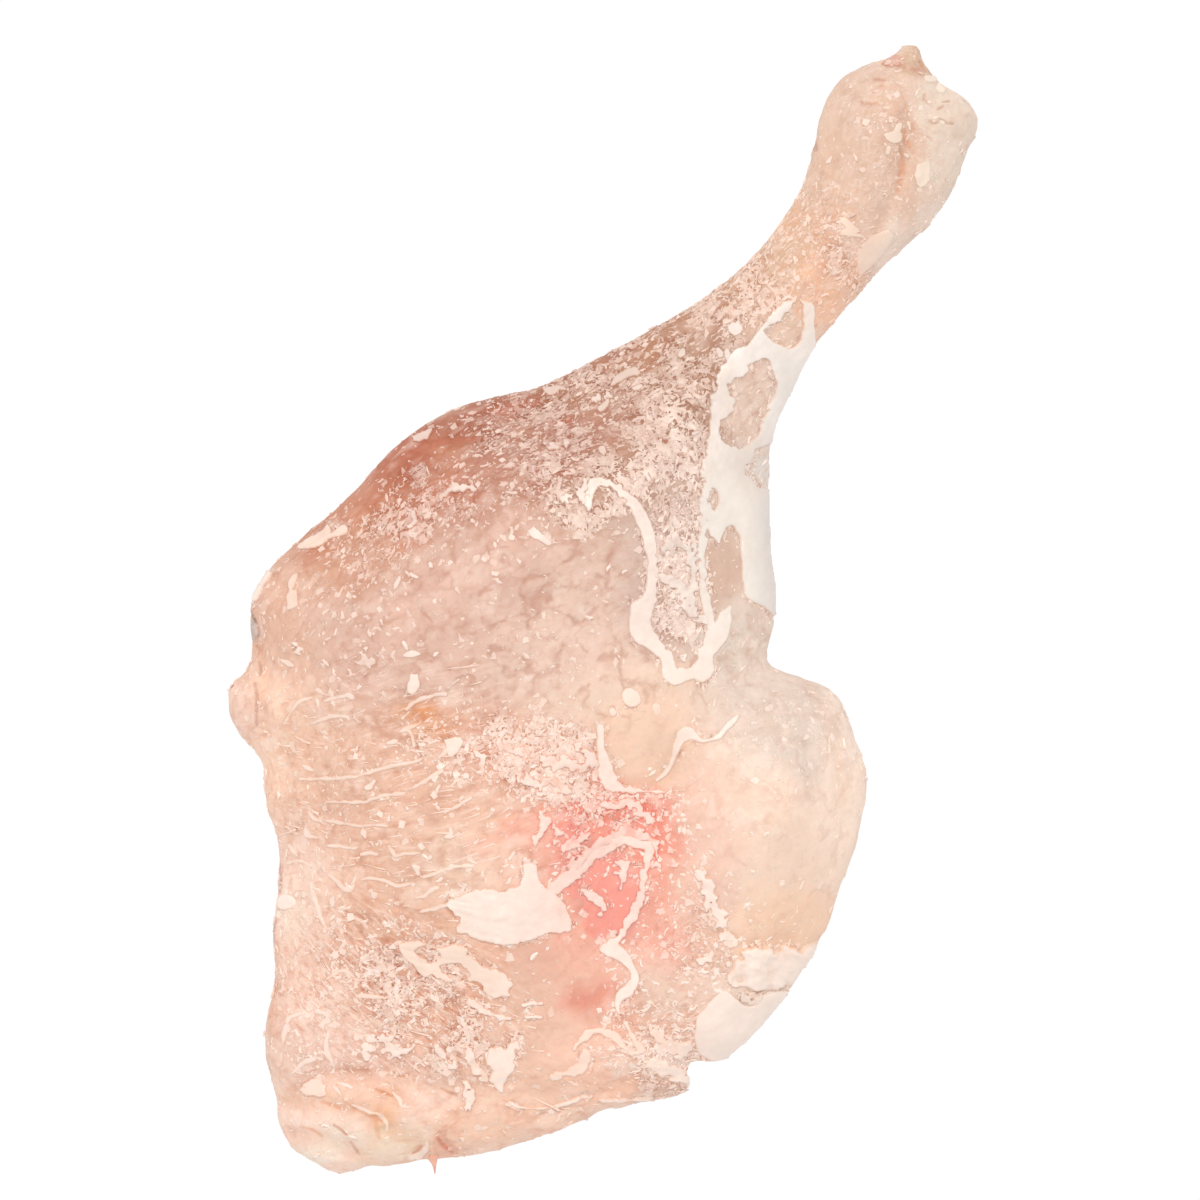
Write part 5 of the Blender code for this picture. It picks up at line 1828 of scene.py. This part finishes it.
# %% Make the ice
CALF_BOX = (570, 285, 830, 800)
THIGH_BOX = (240, 510, 800, 1120)
CLUMP_BOX = (715, 930, 830, 1000)
STRANDS_BOX = (250, 670, 490, 1170)
FLAKES_BOX = (250, 70, 960, 1120)
CLUSTERS_BOX = (250, 380, 780, 1120)
fine = {"step": FINE_STEP}

make_ice("calf_ice_film", inside_calf_ice, CALF_BOX, 0.28 * MM, 2.5)
make_ice("thigh_ice_slabs", inside_thigh_ice, THIGH_BOX, 0.30 * MM, 1.8)
make_ice("edge_ice_clump", inside_clumps, CLUMP_BOX, 0.5 * MM, 5.0, lumps=0.8)
make_ice("thigh_strands", inside_strands, STRANDS_BOX, 0.15 * MM, 2.0, body=0.66, **fine)
make_ice("bright_flakes", inside_flakes, FLAKES_BOX, 0.20 * MM, 1.2, body=0.78, **fine)
make_ice("frost_clusters", inside_clusters, CLUSTERS_BOX, 0.32 * MM, 1.6, lumps=0.8, body=0.88, **fine)

# %% [markdown]
# ## Loose frost: crumbs, plates, curls, chips, needles and splinters
# Thousands of small crystals lie on the skin. Placing them by hand is hopeless, and this is what
# Geometry Nodes are for: one tree spreads points over the skin by a painted cover, puts a randomly
# chosen little shape on each, turns it, and makes real mesh of them all. Seven kinds of frost use
# the same tree with other numbers. Each shape has only a few faces, because there are so many.

# %% Shapes of frost, one unit across
def crumb(number):
    """A crooked little octahedron."""
    chance = np.random.default_rng(200 + number)
    reach = chance.uniform(0.22, 0.52, 6)
    ends = np.array([(1, 0, 0), (0, 1, 0), (-1, 0, 0), (0, -1, 0), (0, 0, 0.4), (0, 0, -0.4)])
    faces = [(k, (k + 1) % 4, 4) for k in range(4)] + [((k + 1) % 4, k, 5) for k in range(4)]
    return closed_mesh(f"crumb_{number}", ends * reach[:, None], faces)


def plate(number):
    """A flat chip with a few crooked corners and a slightly tilted top."""
    chance = np.random.default_rng(300 + number)
    count = 4 + number % 2
    turns = (np.arange(count) + chance.uniform(-0.36, 0.36, count)) * 2 * math.pi / count
    reach = chance.uniform(0.26, 0.60, count)
    ring = np.column_stack([np.cos(turns), np.sin(turns) * chance.uniform(0.5, 1.0)]) * reach[:, None]
    low = np.column_stack([ring, np.full(count, -0.06)])
    high = np.column_stack([ring * 0.92, 0.07 + 0.04 * ring[:, 0]])
    caps = [tuple(range(count)), tuple(range(count, 2 * count))]
    return closed_mesh(f"plate_{number}", np.vstack([low, high]), ring_walls(0, count) + caps)


def curl(number):
    """A flat worm of frost, bent one way or in an S."""
    chance = np.random.default_rng(500 + number)
    turn = chance.uniform(0.0, 2.0)
    corners = []
    middle = np.zeros(2)
    for along in range(4):
        ahead = np.array([math.cos(turn), math.sin(turn)])
        half = chance.uniform(0.14, 0.24) * (0.6 if along in (0, 3) else 1.0)
        side = np.array([-ahead[1], ahead[0]]) * half
        corners += [(*(middle - side), -0.05), (*(middle + side), -0.05), (*middle, 0.10)]
        middle = middle + ahead * 0.28
        turn += chance.uniform(-1.1, 1.1)
    faces = [(0, 1, 2), (11, 10, 9)] + ring_walls(0, 3) + ring_walls(3, 3) + ring_walls(6, 3)
    return closed_mesh(f"curl_{number}", corners, faces)


def sliver(name, number, fat):
    """A thin, slightly bent rod of ice with a thicker end."""
    chance = np.random.default_rng(400 + number)
    bend = chance.uniform(-0.10, 0.10)
    corners = [(-0.5, bend * 0.25, 0.0)]
    for along, half in ((-0.2, 0.014 * fat), (0.15, 0.022 * fat), (0.42, 0.030 * fat)):
        middle = bend * (0.25 - along**2) + chance.uniform(-0.012, 0.012)
        low = -half / 2
        corners += [(along, middle - half, low), (along, middle + half, low), (along, middle, half)]
    corners.append((0.5, bend * 0.02, 0.0))
    faces = [(0, 1 + k, 1 + (k + 1) % 3) for k in range(3)] + ring_walls(1, 3) + ring_walls(4, 3)
    faces += [(7 + (k + 1) % 3, 7 + k, 10) for k in range(3)]
    return closed_mesh(f"{name}_{number}", corners, faces)


def needle(number):
    return sliver("needle", number, 1.2)


def splinter(number):
    return sliver("splinter", number, 3.4)


def shape_box(name, maker, count):
    """A collection of shapes that is never shown itself."""
    box = bpy.data.collections.new(name)
    for number in range(count):
        mesh = maker(number)
        box.objects.link(bpy.data.objects.new(mesh.name, mesh))
    return box


# %% The tree that spreads frost
FROST_SOCKETS = {
    "Skin": "NodeSocketGeometry",
    "Shapes": "NodeSocketCollection",
    "Finish": "NodeSocketMaterial",
    "Cover": "NodeSocketString",
    "Per square metre": "NodeSocketFloat",
    "Smallest": "NodeSocketFloat",
    "Largest": "NodeSocketFloat",
    "Tilt": "NodeSocketFloat",
    "Along the grain": "NodeSocketBool",
    "Seed": "NodeSocketInt",
}
MOSTLY_SMALL = 2.5
TONE_SEED = 5


def frost_tree():
    """Points by a painted cover, a shape on each, turned and sized by chance, made real."""
    tree = bpy.data.node_groups.new("spread_frost", "GeometryNodeTree")
    for name, kind in FROST_SOCKETS.items():
        tree.interface.new_socket(name, in_out="INPUT", socket_type=kind)
    tree.interface.new_socket("Frost", in_out="OUTPUT", socket_type="NodeSocketGeometry")
    given = add_node(tree, "NodeGroupInput").outputs
    cover = add_node(tree, "GeometryNodeInputNamedAttribute", {"Name": given["Cover"]}).outputs[0]
    density = calc(tree, "MULTIPLY", cover, given["Per square metre"])
    inputs = {"Mesh": given["Skin"], "Density": density, "Seed": given["Seed"]}
    spread = add_node(tree, "GeometryNodeDistributePointsOnFaces", inputs)

    chance = add_node(tree, "FunctionNodeRandomValue", {"Seed": given["Seed"]}).outputs[1]
    room = calc(tree, "SUBTRACT", given["Largest"], given["Smallest"])
    share = calc(tree, "POWER", chance, MOSTLY_SMALL)
    size = calc(tree, "ADD", given["Smallest"], calc(tree, "MULTIPLY", room, share))

    other_way = calc(tree, "MULTIPLY", given["Tilt"], -1.0)
    low = add_node(tree, "ShaderNodeCombineXYZ", {0: other_way}).outputs[0]
    high = add_node(tree, "ShaderNodeCombineXYZ", {0: given["Tilt"], 2: 2 * math.pi}).outputs[0]
    inputs = {0: low, 1: high, "Seed": given["Seed"]}
    turn = add_node(tree, "FunctionNodeRandomValue", inputs, data_type="FLOAT_VECTOR").outputs[0]
    inputs = {"Rotation": spread.outputs["Rotation"], "Rotate By": turn}
    loose = add_node(tree, "FunctionNodeRotateRotation", inputs, rotation_space="LOCAL").outputs[0]
    inputs = {"Name": "grain"}
    grain = add_node(tree, "GeometryNodeInputNamedAttribute", inputs, data_type="FLOAT_VECTOR")
    inputs = {"Rotation": spread.outputs["Rotation"], "Vector": grain.outputs[0]}
    lined = add_node(tree, "FunctionNodeAlignRotationToVector", inputs, axis="X", pivot_axis="Z").outputs[0]
    inputs = {0: given["Along the grain"], 1: loose, 2: lined}
    rotation = add_node(tree, "GeometryNodeSwitch", inputs, input_type="ROTATION").outputs[0]

    inputs = {"Collection": given["Shapes"], "Separate Children": True, "Reset Children": True}
    shapes = add_node(tree, "GeometryNodeCollectionInfo", inputs).outputs[0]
    inputs = {"Points": spread.outputs[0], "Instance": shapes, "Pick Instance": True}
    inputs |= {"Rotation": rotation, "Scale": size}
    placed = add_node(tree, "GeometryNodeInstanceOnPoints", inputs).outputs[0]
    tone = add_node(tree, "FunctionNodeRandomValue", {"Seed": TONE_SEED}).outputs[1]
    inputs = {"Geometry": placed, "Name": "tone", "Value": tone}
    toned = add_node(tree, "GeometryNodeStoreNamedAttribute", inputs, domain="INSTANCE").outputs[0]
    real = add_node(tree, "GeometryNodeRealizeInstances", {"Geometry": toned}).outputs[0]
    inputs = {"Geometry": real, "Material": given["Finish"]}
    done = add_node(tree, "GeometryNodeSetMaterial", inputs).outputs[0]
    add_node(tree, "NodeGroupOutput", {"Frost": done})
    return tree


# %% The finish of loose frost
def crystal_finish():
    """Whitish crystals that let some of the skin's tint through, each with its own tone."""
    material, tree, shader = new_finish("frost_crystals", 0.45, Specular_IOR_Level=0.45)
    place = add_node(tree, "ShaderNodeTexCoord").outputs["Object"]
    inputs = {"Value": attribute_of(tree, "tone"), "To Min": 0.55, "To Max": 1.10}
    tone = add_node(tree, "ShaderNodeMapRange", inputs).outputs[0]
    grain = scaled(tree, noise_value(tree, place, 0.6 * MM), 0.94, 1.03)
    share = product(tree, tone, frost_strength(tree))
    colour = lay_over(tree, share, attribute_of(tree, "skin_tint", "Color"), FLECK_COLOUR)
    tree.links.new(darker(tree, grain, colour), shader.inputs["Base Color"])
    return material


# %% Spread the loose frost
spread_frost = frost_tree()
crystal_material = crystal_finish()
FIRST_SEED = 700
LOOSE_FROST = {
    # piece: (shape, number of shapes, painted cover, most of them on a square metre,
    #         smallest and largest in mm, tilt in radians, whether they lie along the grain)
    "frost_crumbs": (crumb, 8, "frost_cover", 1.0e6, 0.3, 0.95, 0.35, False),
    "heaped_crumbs": (crumb, 8, "heaps", 1.1e6, 0.6, 1.8, 0.5, False),
    "frost_plates": (plate, 8, "frost_cover", 0.6e6, 0.6, 1.9, 0.2, False),
    "frost_curls": (curl, 10, "frost_cover", 1.3e6, 0.8, 2.0, 0.15, False),
    "frost_chips": (plate, 8, "plates", 0.04e6, 0.9, 2.2, 0.10, False),
    "frost_needles": (needle, 6, "needles", 0.016e6, 3.0, 7.0, 0.0, True),
    "frost_splinters": (splinter, 6, "needles", 0.34e6, 0.8, 2.6, 0.0, True),
}


def spread(number, piece, maker, shapes, cover, density, smallest, largest, tilt, along):
    """One kind of loose frost over the whole skin, as a plain mesh that rides on the leg."""
    carrier = new_object("carrier", skin_mesh)
    modifier = carrier.modifiers.new("frost", "NODES")
    modifier.node_group = spread_frost
    box = shape_box(piece, maker, shapes)
    values = {
        "Shapes": box, "Finish": crystal_material, "Cover": cover, "Per square metre": density,
        "Smallest": smallest * MM, "Largest": largest * MM, "Tilt": tilt, "Along the grain": along,
        "Seed": FIRST_SEED + number,
    }
    for socket in spread_frost.interface.items_tree:
        if socket.name in values:
            modifier[socket.identifier] = values[socket.name]
    bpy.context.view_layer.update()
    mesh = plain_mesh(carrier, piece)
    bpy.data.objects.remove(carrier)
    for shape in list(box.objects):
        bpy.data.objects.remove(shape)
    bpy.data.collections.remove(box)
    lay_on_leg(piece, mesh)


for number, (piece, sizes) in enumerate(LOOSE_FROST.items()):
    spread(number, piece, *sizes)

# %% [markdown]
# ## Light and floor
# The photograph is high and flat in its light, with a pure white background and no cast shadow. A
# white sky does part of that. The rest comes from one soft lamp, high up and a little towards the
# top of the picture, as strands and flakes have their darker side below. The floor glows evenly by
# itself, like the light table under a product photograph, so nothing darkens it.

# %% Sky, lamp and floor
SKY_STRENGTH = 0.80
LAMP_POWER = 4.9
LAMP_SIZE = 0.4
LAMP_PLACE = Vector((-0.06, 0.40, 1.0))
FLOOR_REACH = 2.0
FLOOR_GLOW = 1.02

world = bpy.data.worlds.new("white_sky")
bpy.context.scene.world = world
world.use_nodes = True
sky = world.node_tree.nodes["Background"].inputs
sky["Color"].default_value = (1.0, 1.0, 1.0, 1.0)
sky["Strength"].default_value = SKY_STRENGTH

lamp_data = bpy.data.lights.new("soft_lamp", "AREA")
lamp_data.energy = LAMP_POWER
lamp_data.size = LAMP_SIZE
lamp = new_object("soft_lamp", lamp_data)
lamp.location = LAMP_PLACE
lamp.rotation_mode = "QUATERNION"
lamp.rotation_quaternion = (-LAMP_PLACE).to_track_quat("-Z", "Y")

floor_mesh = bpy.data.meshes.new("floor")
signs = ((-1, -1), (1, -1), (1, 1), (-1, 1))
floor_corners = [(x * FLOOR_REACH, y * FLOOR_REACH, leg_low.z) for x, y in signs]
floor_mesh.from_pydata(floor_corners, [], [(0, 1, 2, 3)])
floor = new_object("floor", floor_mesh)
floor_material, _, floor_shader = new_finish("glowing_floor", 0.9, Specular_IOR_Level=0.0)
floor_shader.inputs["Base Color"].default_value = (0.0, 0.0, 0.0, 1.0)
floor_shader.inputs["Emission Color"].default_value = (1.0, 1.0, 1.0, 1.0)
floor_shader.inputs["Emission Strength"].default_value = FLOOR_GLOW
floor_mesh.materials.append(floor_material)
bpy.context.scene.view_settings.view_transform = "Standard"
print("sky of", SKY_STRENGTH, "and a lamp of", LAMP_POWER, "watts")
